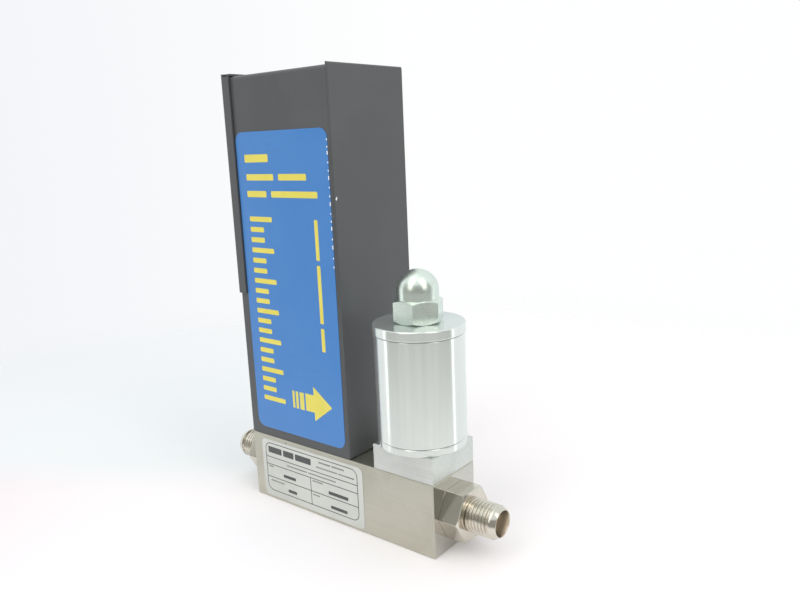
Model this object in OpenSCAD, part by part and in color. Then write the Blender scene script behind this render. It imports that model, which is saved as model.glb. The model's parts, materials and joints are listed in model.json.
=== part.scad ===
// Thermal mass flow controller: a bar-shaped flow body with a bypass sensor and electronics
// under a tall sheet-metal housing, and a proportional solenoid valve beside it.
// +X is the flow direction, -Y the labelled front, +Z up. Millimetres.
// The origin is the centre of the flow body's bottom face.

/* [Flow body] */
// Length of the flow body along the flow
body_l = 101.6; // [95:0.1:130]
// Width of the flow body, front to back
body_w = 28; // [27:0.5:40]
// Height of the flow body
body_h = 30.4; // [28:0.1:40]
// Chamfer on the edges of the machined blocks
edge_break = 0.35; // [0.1:0.05:0.8]
// Height of the flow axis above the bottom face
flow_z = 15.5; // [14:0.1:18]
// Radius of the main bore that holds the flow restrictor
main_bore_r = 4.8; // [4:0.1:6]
// Radius of the drilled passages
passage_r = 3; // [2:0.1:3.6]
// Distance between the two mounting holes in the bottom
mount_pitch = 76.2; // [50:0.1:80]
// Radius of the mounting holes
mount_hole_r = 2.08; // [1.5:0.01:3]
// Depth of the mounting holes
mount_hole_depth = 8; // [5:0.5:8.5]

/* [Tube fittings] */
// Radius of the fitting's shank in the body
shank_r = 6; // [5:0.1:7]
// Length of the fitting's shank
shank_l = 8; // [6:0.1:9]
// Hexagon across flats
hex_af = 19.9; // [17:0.1:24]
// Length of the hexagon
hex_l = 8.8; // [6:0.1:12]
// Length that the fitting stands out of the body
fitting_l = 21.7; // [19:0.1:28]
// Outer radius of the male thread
thread_r = 6.65; // [6.2:0.05:8]
// Radius at the bottom of the groove behind the nose
groove_r = 5.95; // [5.7:0.05:6.2]
// Width of that groove
groove_w = 0.6; // [0.3:0.1:1.2]
// Length of the tapered nose
nose_l = 2.8; // [2:0.1:4]
// Outer radius of the nose at its rim
rim_r = 5.45; // [5.3:0.05:6]
// Radius of the tube socket
socket_r = 4.8; // [4:0.05:5]
// Depth of the tube socket
socket_depth = 8; // [5:0.5:10]
// Radius of the mouth of the socket
mouth_r = 5.15; // [5:0.05:5.25]
// Radius of the bore through the fitting
fitting_bore_r = 3.4; // [2:0.1:4]
// Section diameter of the O-ring behind the hexagon
fitting_seal_d = 1.4; // [1:0.1:1.8]

/* [Bypass sensor] */
// Distance between the sensor's two ports
port_pitch = 18; // [16:0.5:20]
// Length of the flow restrictor between the ports
restrictor_l = 10; // [6:0.5:12]
// Thickness of the inlet screen
screen_t = 1; // [0.5:0.1:2]
// Length, width and height of the sensor base
sensor_base = [37, 18, 8]; // [8:0.5:40]
// Outer radius of the capillary tube
capillary_r = 0.6; // [0.4:0.05:0.9]
// Bend radius of the capillary tube
capillary_bend = 4; // [3:0.5:6]
// Height of the capillary tube above the sensor base
capillary_h = 26; // [18:0.5:34]
// Width of the sensor can, front to back
sensor_can_w = 13; // [10:0.5:14]
// Wall of the sensor can
sensor_can_t = 0.8; // [0.5:0.1:1.5]

/* [Housing] */
// Distance between the housing and the valve block
valve_clear = 13; // [6:0.1:16]
// Depth of the housing, front to back
case_d = 44; // [40:0.5:60]
// Height of the housing above the flow body
case_h = 156; // [140:0.5:200]
// Distance that the housing stands out past the inlet end of the body
case_over = 0.2; // [0:0.1:2]
// Distance that its front stands back from the body's front
case_setback = 0.4; // [0:0.1:2]
// Thickness of the sheet metal
sheet_t = 0.8; // [0.6:0.1:1.2]
// Outer radius of the bends
bend_r = 1.6; // [1.3:0.1:2.5]
// Running gap between sheets that slide past each other
slip = 0.1; // [0.05:0.05:0.3]
// Height of the removable inlet cover
cover_h = 92.2; // [80:0.1:110]
// Gap between the inlet cover and the housing inside it
cover_gap = 0.2; // [0.1:0.05:0.4]
// Width of the lips that wrap around the inlet cover
cover_lip = 5; // [3:0.1:8]
// Width of the flange on top of the outlet end panel
end_flange = 3; // [2:0.1:6]

/* [Labels] */
// Thickness of the labels
label_t = 0.15; // [0.1:0.05:0.3]
// Distance from the front label to the inlet cover's lip
label_lip_gap = 0.4; // [0.2:0.1:4]
// Distance from the front label to the outlet end of the housing
label_end_gap = 2.2; // [1:0.1:6]
// Height of the front label's lower edge above the flow body
label_lift = 4; // [2:0.1:8]
// Distance from the front label down from the housing's top
label_drop = 22.7; // [10:0.1:40]
// Radius of its corners
label_r = 4; // [1:0.5:8]
// Distance from the rating label to the inlet end of the flow body
rating_start = 5.5; // [2:0.1:10]
// Length of the rating label on the flow body
rating_l = 60.7; // [40:0.1:73]
// Bare strip above and below the rating label
rating_margin = [1.3, 1.8]; // [0.5:0.1:6]
// Radius of its corners
rating_r = 2.5; // [1:0.5:4]

/* [Valve] */
// Length of the valve block along the flow
block_l = 29.1; // [28:0.1:34]
// Height of the valve block
block_h = 10.5; // [10:0.1:14]
// Radius of the valve chamber
chamber_r = 7.4; // [7:0.1:8]
// Radius of the orifice
orifice_r = 0.8; // [0.3:0.05:1.2]
// Travel of the plunger
plunger_travel = 0.5; // [0.3:0.05:0.8]
// Outer radius of the guide tube
guide_r = 5; // [4.8:0.1:5.4]
// Wall of the guide tube
guide_wall = 0.9; // [0.6:0.1:1]
// Running clearance round the plunger
plunger_gap = 0.3; // [0.2:0.05:0.4]
// Length of the plunger
plunger_l = 25; // [18:0.5:30]
// Outer radius of the solenoid sleeve
sleeve_r = 17.7; // [17.5:0.1:19]
// Wall of the solenoid sleeve
sleeve_wall = 2; // [1.5:0.1:2.5]
// Height of the solenoid sleeve
sleeve_h = 41.7; // [34:0.1:52]
// Height of the ring below the sleeve
ring_h = 3; // [2:0.1:5]
// Outer radius of the top cap
cap_r = 18.1; // [17.9:0.1:19.5]
// Height of the top cap
cap_h = 4; // [3:0.1:6]

/* [Acorn nut] */
// Across flats
nut_af = 17.46; // [15:0.01:20]
// Height of the hexagon
nut_h = 9.1; // [6:0.1:12]
// Radius of the dome
dome_r = 8.2; // [7:0.1:8.7]
// Height of the straight wall below the dome
dome_wall = 3.1; // [1:0.1:5]
// Turn of the nut about its axis, in degrees
nut_turn = -65; // [-90:1:0]
// Radius of the stud under the nut
stud_r = 4.7; // [4:0.1:4.8]

/* [Hidden] */
$fn = 72;
eps = 0.01;
fit_gap = 0.1;
body_x = body_l / 2;
body_y = body_w / 2;

// Screws: shank radius, head radius, head height
m3_screw = [1.5, 2.75, 3];
small_screw = [1.2, 2.4, 1.6];

// The housing ends short of the valve block, and the sensor stands in the middle of its floor
case_x0 = -body_x - case_over;
case_x1 = body_x - block_l - valve_clear;
sensor_x = (case_x0 + case_x1) / 2;

// Flow path
port_r = shank_r + fit_gap;
mouth_depth = 1.7;
seal_recess_r = shank_r + fitting_seal_d + 2 * fit_gap;
seal_recess_depth = fitting_seal_d + fit_gap / 2;
inlet_port_depth = shank_l + screen_t + fit_gap;
outlet_port_depth = shank_l + fit_gap;
restrictor_r = main_bore_r - fit_gap;
main_bore_end = sensor_x + restrictor_l / 2;
sensor_port_r = 1;
sensor_seal_d = 1;
sensor_seal_r = 2;
riser_in_r = 1.5;
riser_out_r = 1;
riser_offset = 5;
drill_run = 0.4;
riser_seal_d = 0.9;
riser_in_seal_r = 2.1;
riser_out_seal_r = 1.6;

// Valve levels
valve_x = body_x - block_l / 2;
block_top = body_h + block_h;
flange_h = 3;
flange_r = chamber_r + 0.9;
guide_seal_d = 0.9;
ledge_r = chamber_r - guide_seal_d - 2 * fit_gap;
chamber_depth = 6;
chamber_floor = block_top - chamber_depth;
seat_r = 3;
seat_rise = 1.6;
seat_top = chamber_floor + seat_rise;
valve_screw_pitch = 19.6;
valve_screw_depth = 8;
ring_top = block_top + ring_h;
sleeve_top = ring_top + sleeve_h;
cap_top = sleeve_top + cap_h;
seat_gap = 0.05;
disc_h = 1.6;
disc_r = 2.6;
plunger_r = guide_r - guide_wall - plunger_gap;
plunger_z0 = seat_top + seat_gap;
plunger_z1 = plunger_z0 + plunger_l;
core_z0 = plunger_z1 + plunger_travel + plunger_gap;
guide_top = sleeve_top - 7;
spring_pocket_r = 2.4;
spring_pocket_depth = 7;
spring_r = 1.8;
spring_wire_r = 0.25;
spring_turns = 7;

// Coil
bobbin_wall = 1;
bobbin_flange = 1.5;
bobbin_r = sleeve_r - sleeve_wall - 0.2;
bobbin_z0 = ring_top + 0.1;
cap_register = 1.5;
bobbin_z1 = sleeve_top - cap_register - 0.2;

// Housing planes
case_y0 = -body_y + case_setback;
case_y1 = case_y0 + case_d;
case_yc = (case_y0 + case_y1) / 2;
case_z0 = body_h;
case_z1 = body_h + case_h;
skirt_gap = 0.15;
wrap_x1 = case_x1 - sheet_t - slip;
panel_top = case_z1 + slip + sheet_t;
flange_mitre_x = sheet_t + slip + 0.2;
cover_x0 = case_x0 - cover_gap - sheet_t;
cover_y0 = case_y0 - cover_gap - sheet_t;
cover_y1 = case_y1 + cover_gap + sheet_t;
cover_z1 = case_z1 + cover_gap + sheet_t;
cover_z0 = cover_z1 - cover_h;
lap = 4;
inlet_panel_top = cover_z0 + lap;
lip_flange = 7;
hem_flange = 9;
hem_drop = 0.9;
cover_screw_y = case_d / 2 - sheet_t - lip_flange / 2 - fit_gap;
cover_screw_z = [inlet_panel_top + 9, case_z1 - 12];
hem_screw_x = [case_x0 + 14, case_x1 - 14];
floor_screw_x = [case_x0 + 7, case_x1 - 5];
floor_top = body_h + sheet_t;

// Connector on the inlet cover
dsub_z = cover_z0 + 0.5 * cover_h;
dsub_flange = [53, 12.5];
dsub_shell = [38.2, 7.8];
dsub_screw_pitch = 47;
dsub_corner = 1.6;
dsub_slope = 0.9;
dsub_reach = 5.8;
dsub_depth = 6;
dsub_flange_x = cover_x0 + sheet_t;
dsub_rear_x = dsub_flange_x + sheet_t + dsub_depth;
pin_pitch = 2.76;
pin_row = 2.84;
jack_af = 4.75;
jack_h = 4.6;
jack_r = 1.4;

// Circuit boards
board_t = 1.6;
pin_stand = 1;
small_board_x = dsub_rear_x + pin_stand;
small_board = [22, 56];
main_board_y = case_y1 - 8.5;
main_board_x = [case_x0 + 3.5, case_x1 - 4.5];
main_board_z = [floor_top + 4.5, case_z1 - 8];
standoff_r = 2.5;
standoff_h = case_y1 - sheet_t - slip - sheet_t - (main_board_y + board_t);
stand_flange_h = 16;
stand_flange_w = 14;
low_stand_z = floor_top + 9;
high_stand_z = [body_h + 0.52 * case_h, case_z1 - 14];
stand_x = [case_x0 + 9, case_x1 - 9];

// Flat cable between the two boards
ribbon_w = 26;
ribbon_t = 0.9;
ribbon_bend = 5;
header_h = 5;
ribbon_z = dsub_z - ribbon_w / 2;
ribbon_y = case_yc - 8;
ribbon_x = case_x0 + 26;

// ---- Shared forms ----

// Box between two opposite corners
module span(a, b) {
    translate(a) cube(b - a);
}

// Cylinders along each axis, from a point
module x_rod(p, r, l) {
    translate(p) rotate([0, 90, 0]) cylinder(r = r, h = l);
}

module y_rod(p, r, l) {
    translate(p) rotate([-90, 0, 0]) cylinder(r = r, h = l);
}

module z_rod(p, r, l) {
    translate(p) cylinder(r = r, h = l);
}

// Ring of round section, flat on the XY plane
module o_ring(mean_r, section_d) {
    rotate_extrude() translate([mean_r, 0]) circle(d = section_d, $fn = 24);
}

// Annular groove for such a ring, cut down from the plane of p
module ring_groove(p, mean_r, section_d) {
    half = section_d / 2 + fit_gap / 2;
    translate(p) translate([0, 0, -section_d]) difference() {
        cylinder(r = mean_r + half, h = section_d + eps);
        translate([0, 0, -eps]) cylinder(r = mean_r - half, h = section_d + 3 * eps);
    }
}

// Rectangle from its corner, with round corners
module round_rect(size, r) {
    translate([r, 0]) square([size.x - 2 * r, size.y]);
    translate([0, r]) square([size.x, size.y - 2 * r]);
    for (x = [r, size.x - r], y = [r, size.y - r])
        translate([x, y]) circle(r = r);
}

// Rectangle centred on the origin with its corners cut at 45 degrees
module cut_rect(a, b, c) {
    polygon([
        [-a / 2 + c, -b / 2], [a / 2 - c, -b / 2], [a / 2, -b / 2 + c], [a / 2, b / 2 - c],
        [a / 2 - c, b / 2], [-a / 2 + c, b / 2], [-a / 2, b / 2 - c], [-a / 2, -b / 2 + c]
    ]);
}

// Machined block on the XY plane, centred in X and Y, with every edge broken
module machined_block(l, w, h, c) {
    intersection() {
        linear_extrude(h) cut_rect(l, w, c);
        translate([0, w / 2, h / 2]) rotate([90, 0, 0]) linear_extrude(w) cut_rect(l, h, c);
        translate([-l / 2, 0, h / 2]) rotate([90, 0, 90]) linear_extrude(l) cut_rect(w, h, c);
    }
}

// Plate in the XZ plane with round corners, front face at y0
module front_plate(x0, z0, y0, size, r, t) {
    translate([x0, y0 + t, z0]) rotate([90, 0, 0]) linear_extrude(t) round_rect(size, r);
}

// Hexagonal bar along +Z, its corners turned down at either end; face is the turned face's share of the flats
module turned_hex(af, h, low_cut, high_cut, face) {
    corner_r = af / sqrt(3);
    face_r = face * af / 2;
    drop = 0.6 * (corner_r - face_r);
    intersection() {
        cylinder(r = corner_r, h = h, $fn = 6);
        rotate_extrude() polygon([
            [0, 0],
            [low_cut ? face_r : corner_r, 0],
            [corner_r + eps, low_cut ? drop : 0],
            [corner_r + eps, high_cut ? h - drop : h],
            [high_cut ? face_r : corner_r, h],
            [0, h]
        ]);
    }
}

// Screw with a cylinder head, head down the +Z side, seat at z = 0
module cap_screw(s, l) {
    translate([0, 0, -l]) cylinder(r = s[0], h = l + eps, $fn = 32);
    difference() {
        rotate_extrude($fn = 40) polygon([
            [0, 0], [s[1], 0], [s[1], s[2] - 0.3], [s[1] - 0.3, s[2]], [0, s[2]]
        ]);
        translate([0, 0, s[2] * 0.45]) cylinder(r = s[1] * 0.5, h = s[2], $fn = 6);
    }
}

// Screw with a low domed head and a cross of two slots
module pan_screw(s, l) {
    translate([0, 0, -l]) cylinder(r = s[0], h = l + eps, $fn = 32);
    difference() {
        intersection() {
            cylinder(r = s[1], h = s[2], $fn = 40);
            translate([0, 0, s[2] - s[1] * 1.6]) sphere(r = s[1] * 1.6, $fn = 48);
        }
        for (a = [0, 90])
            rotate(a) translate([-s[1] * 0.62, -0.25, s[2] * 0.55]) cube([s[1] * 1.24, 0.5, s[2]]);
    }
}

// ---- Flow body and fittings ----

module flow_body() {
    color("#b9b8b2") difference() {
        machined_block(body_l, body_w, body_h, edge_break);
        inlet_side_bores();
        outlet_side_bores();
        sensor_ports();
        for (s = sensor_port_x()) ring_groove([s, 0, body_h], sensor_seal_r, sensor_seal_d);
        ring_groove([valve_x, 0, body_h], riser_in_seal_r, riser_seal_d);
        ring_groove([valve_x + riser_offset, 0, body_h], riser_out_seal_r, riser_seal_d);
        body_screw_holes();
        for (s = [-1, 1])
            z_rod([s * mount_pitch / 2, 0, -eps], mount_hole_r, mount_hole_depth + eps);
    }
}

module inlet_side_bores() {
    seal_recess(-1);
    x_rod([-body_x - eps, 0, flow_z], port_r, inlet_port_depth + eps);
    x_rod([-body_x, 0, flow_z], main_bore_r, main_bore_end + body_x);
    x_rod([main_bore_end - eps, 0, flow_z], passage_r, valve_x + riser_in_r + drill_run - main_bore_end);
    z_rod([valve_x, 0, flow_z], riser_in_r, body_h - flow_z + eps);
}

module outlet_side_bores() {
    start = valve_x + riser_offset - riser_out_r - drill_run;
    seal_recess(1);
    x_rod([body_x - outlet_port_depth, 0, flow_z], port_r, outlet_port_depth + eps);
    x_rod([start, 0, flow_z], passage_r, body_x - start - shank_l / 2);
    z_rod([valve_x + riser_offset, 0, flow_z], riser_out_r, body_h - flow_z + eps);
}

// Recess for the O-ring at one end, side is -1 or 1
module seal_recess(side) {
    low = side > 0 ? body_x - seal_recess_depth : -body_x - eps;
    x_rod([low, 0, flow_z], seal_recess_r, seal_recess_depth + eps);
}

function sensor_port_x() = [sensor_x - port_pitch / 2, sensor_x + port_pitch / 2];
function sensor_screw_x() = [sensor_x - sensor_base.x / 2 + 3, sensor_x + sensor_base.x / 2 - 3];

module sensor_ports() {
    for (x = sensor_port_x())
        z_rod([x, 0, flow_z], sensor_port_r, body_h - flow_z + eps);
}

module body_screw_holes() {
    for (x = sensor_screw_x())
        z_rod([x, 0, body_h - 6], small_screw[0] + fit_gap / 2, 6 + eps);
    for (x = floor_screw_x)
        z_rod([x, 0, body_h - 5], small_screw[0] + fit_gap / 2, 5 + eps);
    for (p = valve_screw_places())
        z_rod([p.x, p.y, body_h - valve_screw_depth], m3_screw[0] + fit_gap / 2, valve_screw_depth + eps);
}

function valve_screw_places() = [
    for (a = [-1, 1], b = [-1, 1])
        [valve_x + a * valve_screw_pitch / 2, b * valve_screw_pitch / 2]
];

// Fitting along +Z, body face at z = 0: shank, hexagon, thread land, groove and tapered nose
module tube_fitting() {
    nose_z = fitting_l - nose_l;
    collar = 0.35;
    difference() {
        union() {
            turned_hex(hex_af, hex_l, false, true, 1.02);
            rotate_extrude() polygon([
                [0, -shank_l], [shank_r - 0.5, -shank_l], [shank_r, -shank_l + 0.5], [shank_r, 0],
                [thread_r, eps], [thread_r, nose_z - groove_w], [groove_r, nose_z - groove_w],
                [groove_r, nose_z], [thread_r, nose_z], [thread_r, nose_z + collar],
                [rim_r, fitting_l], [0, fitting_l]
            ]);
        }
        rotate_extrude() polygon([
            [0, -shank_l - 1], [fitting_bore_r, -shank_l - 1], [fitting_bore_r, fitting_l - socket_depth],
            [socket_r, fitting_l - socket_depth], [socket_r, fitting_l - mouth_depth],
            [mouth_r, fitting_l], [mouth_r, fitting_l + 1], [0, fitting_l + 1]
        ]);
    }
}

module inlet_fitting() {
    color("#b3b1a4") translate([-body_x, 0, flow_z]) rotate([0, -90, 0]) rotate(90) tube_fitting();
}

module outlet_fitting() {
    color("#b3b1a4") translate([body_x, 0, flow_z]) rotate([0, 90, 0]) rotate(90) tube_fitting();
}

module fitting_seals() {
    mean_r = shank_r + fit_gap + fitting_seal_d / 2;
    color("#1d1d1f") for (s = [-1, 1])
        translate([s * (body_x - fitting_seal_d / 2), 0, flow_z]) rotate([0, 90, 0])
            o_ring(mean_r, fitting_seal_d);
}

module inlet_screen() {
    holes = 8;
    color("#a9a9a4") translate([-body_x + shank_l, 0, flow_z]) rotate([0, 90, 0]) difference() {
        cylinder(r = shank_r - fit_gap, h = screen_t);
        for (i = [0 : holes - 1])
            rotate(i * 360 / holes) translate([main_bore_r * 0.55, 0, -1])
                cylinder(r = 0.6, h = screen_t + 2);
        translate([0, 0, -1]) cylinder(r = 0.9, h = screen_t + 2);
    }
}

// Laminar flow element: a plug with a ring of small parallel channels
module flow_restrictor() {
    channels = 9;
    color("#a9a9a4") translate([main_bore_end - restrictor_l, 0, flow_z]) rotate([0, 90, 0]) difference() {
        cylinder(r = restrictor_r, h = restrictor_l);
        for (i = [0 : channels - 1])
            rotate(i * 360 / channels) translate([passage_r * 0.72, 0, -1])
                cylinder(r = 0.35, h = restrictor_l + 2);
    }
}

// ---- Bypass sensor ----

module sensor_base() {
    color("#9c9c98") difference() {
        translate([sensor_x, 0, body_h]) machined_block(sensor_base.x, sensor_base.y, sensor_base.z, 0.3);
        for (x = sensor_port_x())
            z_rod([x, 0, body_h - eps], capillary_r + fit_gap, sensor_base.z + 1);
        for (x = sensor_screw_x())
            z_rod([x, 0, body_h - eps], small_screw[0] + 2 * fit_gap, sensor_base.z + 1);
    }
}

module sensor_seals() {
    color("#1d1d1f") for (x = sensor_port_x())
        translate([x, 0, body_h - sensor_seal_d / 2]) o_ring(sensor_seal_r, sensor_seal_d);
}

// Capillary: two legs, two quarter bends and the straight run that carries the windings
module sensor_tube() {
    low = body_h + 1;
    top = body_h + sensor_base.z + capillary_h;
    run = port_pitch - 2 * capillary_bend;
    color("#c9c6bd") {
        for (x = sensor_port_x())
            z_rod([x, 0, low], capillary_r, top - capillary_bend - low);
        for (s = [-1, 1])
            translate([sensor_x + s * run / 2, 0, top - capillary_bend]) rotate([90, 0, 0])
                rotate(s > 0 ? 0 : 90) rotate_extrude(angle = 90)
                    translate([capillary_bend, 0]) circle(r = capillary_r, $fn = 24);
        x_rod([sensor_x - run / 2, 0, top], capillary_r, run);
    }
}

module sensor_windings() {
    run = port_pitch - 2 * capillary_bend;
    winding_l = run / 2 - 0.6;
    top = body_h + sensor_base.z + capillary_h;
    color("#a5562b") for (x = [sensor_x - run / 2 + 0.2, sensor_x + 0.4])
        difference() {
            x_rod([x, 0, top], capillary_r + 0.9, winding_l);
            x_rod([x - 1, 0, top], capillary_r + fit_gap / 2, winding_l + 2);
        }
}

module sensor_can() {
    can_l = port_pitch + 2 * (capillary_r + sensor_can_t + 1);
    can_z0 = body_h + sensor_base.z;
    can_h = capillary_h + capillary_r + 2 + sensor_can_t;
    color("#c2c2bf") translate([sensor_x - can_l / 2, -sensor_can_w / 2, can_z0]) difference() {
        linear_extrude(can_h) round_rect([can_l, sensor_can_w], 2);
        translate([sensor_can_t, sensor_can_t, -1]) linear_extrude(can_h + 1 - sensor_can_t)
            round_rect([can_l - 2 * sensor_can_t, sensor_can_w - 2 * sensor_can_t], 2 - sensor_can_t);
    }
}

module sensor_screws() {
    color("#8f8f8c") for (x = sensor_screw_x())
        translate([x, 0, body_h + sensor_base.z]) cap_screw(small_screw, sensor_base.z + 5);
}

// ---- Sheet-metal housing ----

// Section of one folded sheet, seen along Y: floor, outlet end, its top flange and the low inlet end
module chassis_section() {
    x0 = case_x0 + slip;
    size = [case_x1 - x0, panel_top - case_z0];
    difference() {
        translate([x0, case_z0]) round_rect(size, sheet_t + slip);
        translate([x0 + sheet_t, case_z0 + sheet_t])
            round_rect([size.x - 2 * sheet_t, size.y - 2 * sheet_t], slip);
        translate([x0 - 1, inlet_panel_top]) square([size.x + 1 - end_flange, case_h]);
    }
}

module chassis() {
    rear_y = case_y1 - sheet_t - slip;
    front_y = case_y0 + sheet_t + slip;
    color("#3a3d3e") difference() {
        union() {
            intersection() {
                translate([0, case_y1, 0]) rotate([90, 0, 0]) linear_extrude(case_d) chassis_section();
                union() {
                    span([cover_x0, front_y, 0], [wrap_x1, rear_y, panel_top + 1]);
                    span([wrap_x1, case_y0, 0], [case_x1 + 1, case_y1, panel_top + 1]);
                    span([case_x1 - end_flange - 1, case_y0, case_z1], [case_x1 + 1, case_y1, panel_top + 1]);
                }
            }
            span([stand_x[0] - 5, rear_y - sheet_t, floor_top - eps],
                 [wrap_x1, rear_y, floor_top + stand_flange_h]);
            span([wrap_x1 - stand_flange_w, rear_y - sheet_t, floor_top],
                 [wrap_x1 + slip + eps, rear_y, case_z1 - 6]);
        }
        translate([sensor_x - sensor_base.x / 2 - 0.2, -sensor_base.y / 2 - 0.2, body_h - 1])
            cube([sensor_base.x + 0.4, sensor_base.y + 0.4, sheet_t + 2]);
        translate([case_x1 - flange_mitre_x, case_y0, case_z1]) linear_extrude(sheet_t + 2)
            polygon([[0, -1], [0, 0], [-end_flange, end_flange], [-end_flange, -1]]);
        for (x = floor_screw_x)
            z_rod([x, 0, body_h - 1], small_screw[0] + 0.2, sheet_t + 2);
        for (x = hem_screw_x)
            z_rod([x, hem_screw_y(), body_h - 1], small_screw[0] + fit_gap / 2, sheet_t + 2);
        for (p = standoff_places())
            y_rod([p.x, rear_y - sheet_t - 1, p.y], small_screw[0] + fit_gap / 2, sheet_t + 2);
    }
}

function hem_screw_y() = case_y1 - sheet_t - hem_flange / 2;
function standoff_places() = [
    for (x = stand_x) [x, low_stand_z],
    for (z = high_stand_z) [stand_x[1], z]
];

module chassis_screws() {
    color("#8f8f8c") for (x = floor_screw_x)
        translate([x, 0, floor_top]) pan_screw(small_screw, sheet_t + 4);
}

// Front, top and back in one folded sheet, seen along X
module wrap_section() {
    low = case_z0 + skirt_gap;
    size = [case_d, case_z1 - low];
    difference() {
        translate([case_y0, low - bend_r]) round_rect([size.x, size.y + bend_r], bend_r);
        translate([case_y0 + sheet_t, low - bend_r - 1])
            round_rect([size.x - 2 * sheet_t, size.y + bend_r + 1 - sheet_t], bend_r - sheet_t);
        translate([case_y0 - 1, low - bend_r - 1]) square([size.x + 2, bend_r + 1]);
    }
}

module housing_wrap() {
    back = case_y1 - sheet_t;
    hem_z = body_h - hem_drop;
    color("#34383a") difference() {
        union() {
            translate([case_x0, 0, 0]) rotate([90, 0, 90]) linear_extrude(wrap_x1 - case_x0) wrap_section();
            span([case_x0, back, hem_z], [wrap_x1, case_y1, body_h + 2]);
            span([case_x0 + 2, back - hem_flange, hem_z], [wrap_x1 - 1, back + eps, hem_z + sheet_t]);
            for (y = [case_y0 + sheet_t - eps, back - lip_flange])
                span([case_x0, y, inlet_panel_top + 1],
                     [case_x0 + sheet_t, y + lip_flange + eps, case_z1 - 5]);
        }
        for (y = [-1, 1], z = cover_screw_z)
            x_rod([case_x0 - 1, case_yc + y * cover_screw_y, z], small_screw[0] + fit_gap / 2, sheet_t + 2);
        for (x = hem_screw_x)
            z_rod([x, hem_screw_y(), hem_z - 1], small_screw[0] + 0.2, sheet_t + 2);
    }
}

module wrap_screws() {
    color("#2c2e2f") for (x = hem_screw_x)
        translate([x, hem_screw_y(), body_h - hem_drop]) rotate([180, 0, 0]) pan_screw(small_screw, 3.2);
}

// Solid form of the inlet cover, grown or shrunk by t: round where the sheet is folded
module cover_form(t) {
    x0 = cover_x0 + t;
    y0 = cover_y0 + t;
    z1 = cover_z1 - t;
    r = sheet_t + cover_gap - t;
    reach = cover_lip + 4 * sheet_t;
    w = cover_y1 - cover_y0 - 2 * t;
    intersection() {
        translate([x0, y0, cover_z0 - t]) linear_extrude(z1 - cover_z0 + t) round_rect([reach, w], r);
        translate([0, y0 + w, 0]) rotate([90, 0, 0]) linear_extrude(w)
            translate([x0, cover_z0 - reach]) round_rect([reach, z1 - cover_z0 + reach], r);
    }
}

module inlet_cover() {
    lip_end = cover_x0 + cover_lip;
    slot = [dsub_shell.y + 2.4, dsub_shell.x + 2.4];
    color("#34383a") difference() {
        cover_form(0);
        cover_form(sheet_t);
        span([lip_end, cover_y0 - 1, cover_z0 - 1], [lip_end + 20, cover_y1 + 1, cover_z1 + 1]);
        for (y = [cover_y0 - 1, cover_y1 - sheet_t - cover_gap])
            span([cover_x0 + 2 * sheet_t, y, case_z1],
                 [lip_end + 1, y + 1 + sheet_t + cover_gap, cover_z1 + 1]);
        translate([cover_x0 - 1, case_yc - slot.x / 2, dsub_z - slot.y / 2]) rotate([90, 0, 90])
            linear_extrude(sheet_t + 2) round_rect(slot, 2);
        for (s = [-1, 1])
            x_rod([cover_x0 - 1, case_yc, dsub_z + s * dsub_screw_pitch / 2], jack_r + 0.2, sheet_t + 2);
        for (y = [-1, 1], z = cover_screw_z)
            x_rod([cover_x0 - 1, case_yc + y * cover_screw_y, z], small_screw[0] + 0.3, sheet_t + 2);
    }
}

module cover_screws() {
    color("#2c2e2f") for (y = [-1, 1], z = cover_screw_z)
        translate([cover_x0, case_yc + y * cover_screw_y, z]) rotate([0, -90, 0]) pan_screw(small_screw, 3.6);
}

// ---- Connector and circuit boards ----

// D-shaped outline standing upright, wide side to the front, grown by t
module d_outline(t) {
    h = dsub_shell.x / 2 - dsub_corner;
    w = dsub_shell.y / 2 - dsub_corner;
    hull() for (s = [-1, 1]) {
        translate([-w, s * h]) circle(r = dsub_corner + t, $fn = 32);
        translate([w, s * (h - dsub_slope)]) circle(r = dsub_corner + t, $fn = 32);
    }
}

module connector_shell() {
    wall = 0.4;
    color("#c4c2b6") translate([0, case_yc, dsub_z]) rotate([90, 0, 90]) difference() {
        union() {
            translate([0, 0, dsub_flange_x]) linear_extrude(sheet_t)
                translate(-[dsub_flange.y, dsub_flange.x] / 2) round_rect([dsub_flange.y, dsub_flange.x], 2);
            translate([0, 0, cover_x0 - dsub_reach])
                linear_extrude(dsub_reach + sheet_t + 2 * eps) d_outline(0);
        }
        translate([0, 0, cover_x0 - dsub_reach - 1]) linear_extrude(dsub_reach + 10) d_outline(-wall);
        for (s = [-1, 1])
            translate([0, s * dsub_screw_pitch / 2, dsub_flange_x - 1]) cylinder(r = jack_r + fit_gap, h = 4);
    }
}

function contact_places() = concat(
    [for (i = [0 : 12]) [-pin_row / 2, (i - 6) * pin_pitch]],
    [for (i = [0 : 11]) [pin_row / 2, (i - 5.5) * pin_pitch]]
);

module connector_insert() {
    front_x = cover_x0 - dsub_reach;
    seat_x = dsub_flange_x + sheet_t;
    wall = 0.4;
    socket_d = 1.1;
    color("#1c1d20") translate([0, case_yc, dsub_z]) rotate([90, 0, 90]) difference() {
        union() {
            translate([0, 0, front_x + 0.2]) linear_extrude(seat_x - front_x) d_outline(-wall - fit_gap / 2);
            translate([0, 0, seat_x]) linear_extrude(dsub_rear_x - seat_x) d_outline(1);
        }
        for (p = contact_places())
            translate([p.x, p.y, front_x - 1]) cylinder(d = socket_d, h = 5, $fn = 16);
    }
}

module connector_pins() {
    color("#d1b25c") for (p = contact_places())
        translate([dsub_rear_x, case_yc + p.x, dsub_z + p.y]) rotate([0, 90, 0])
            cylinder(r = 0.35, h = pin_stand + board_t + 1, $fn = 16);
}

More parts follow.
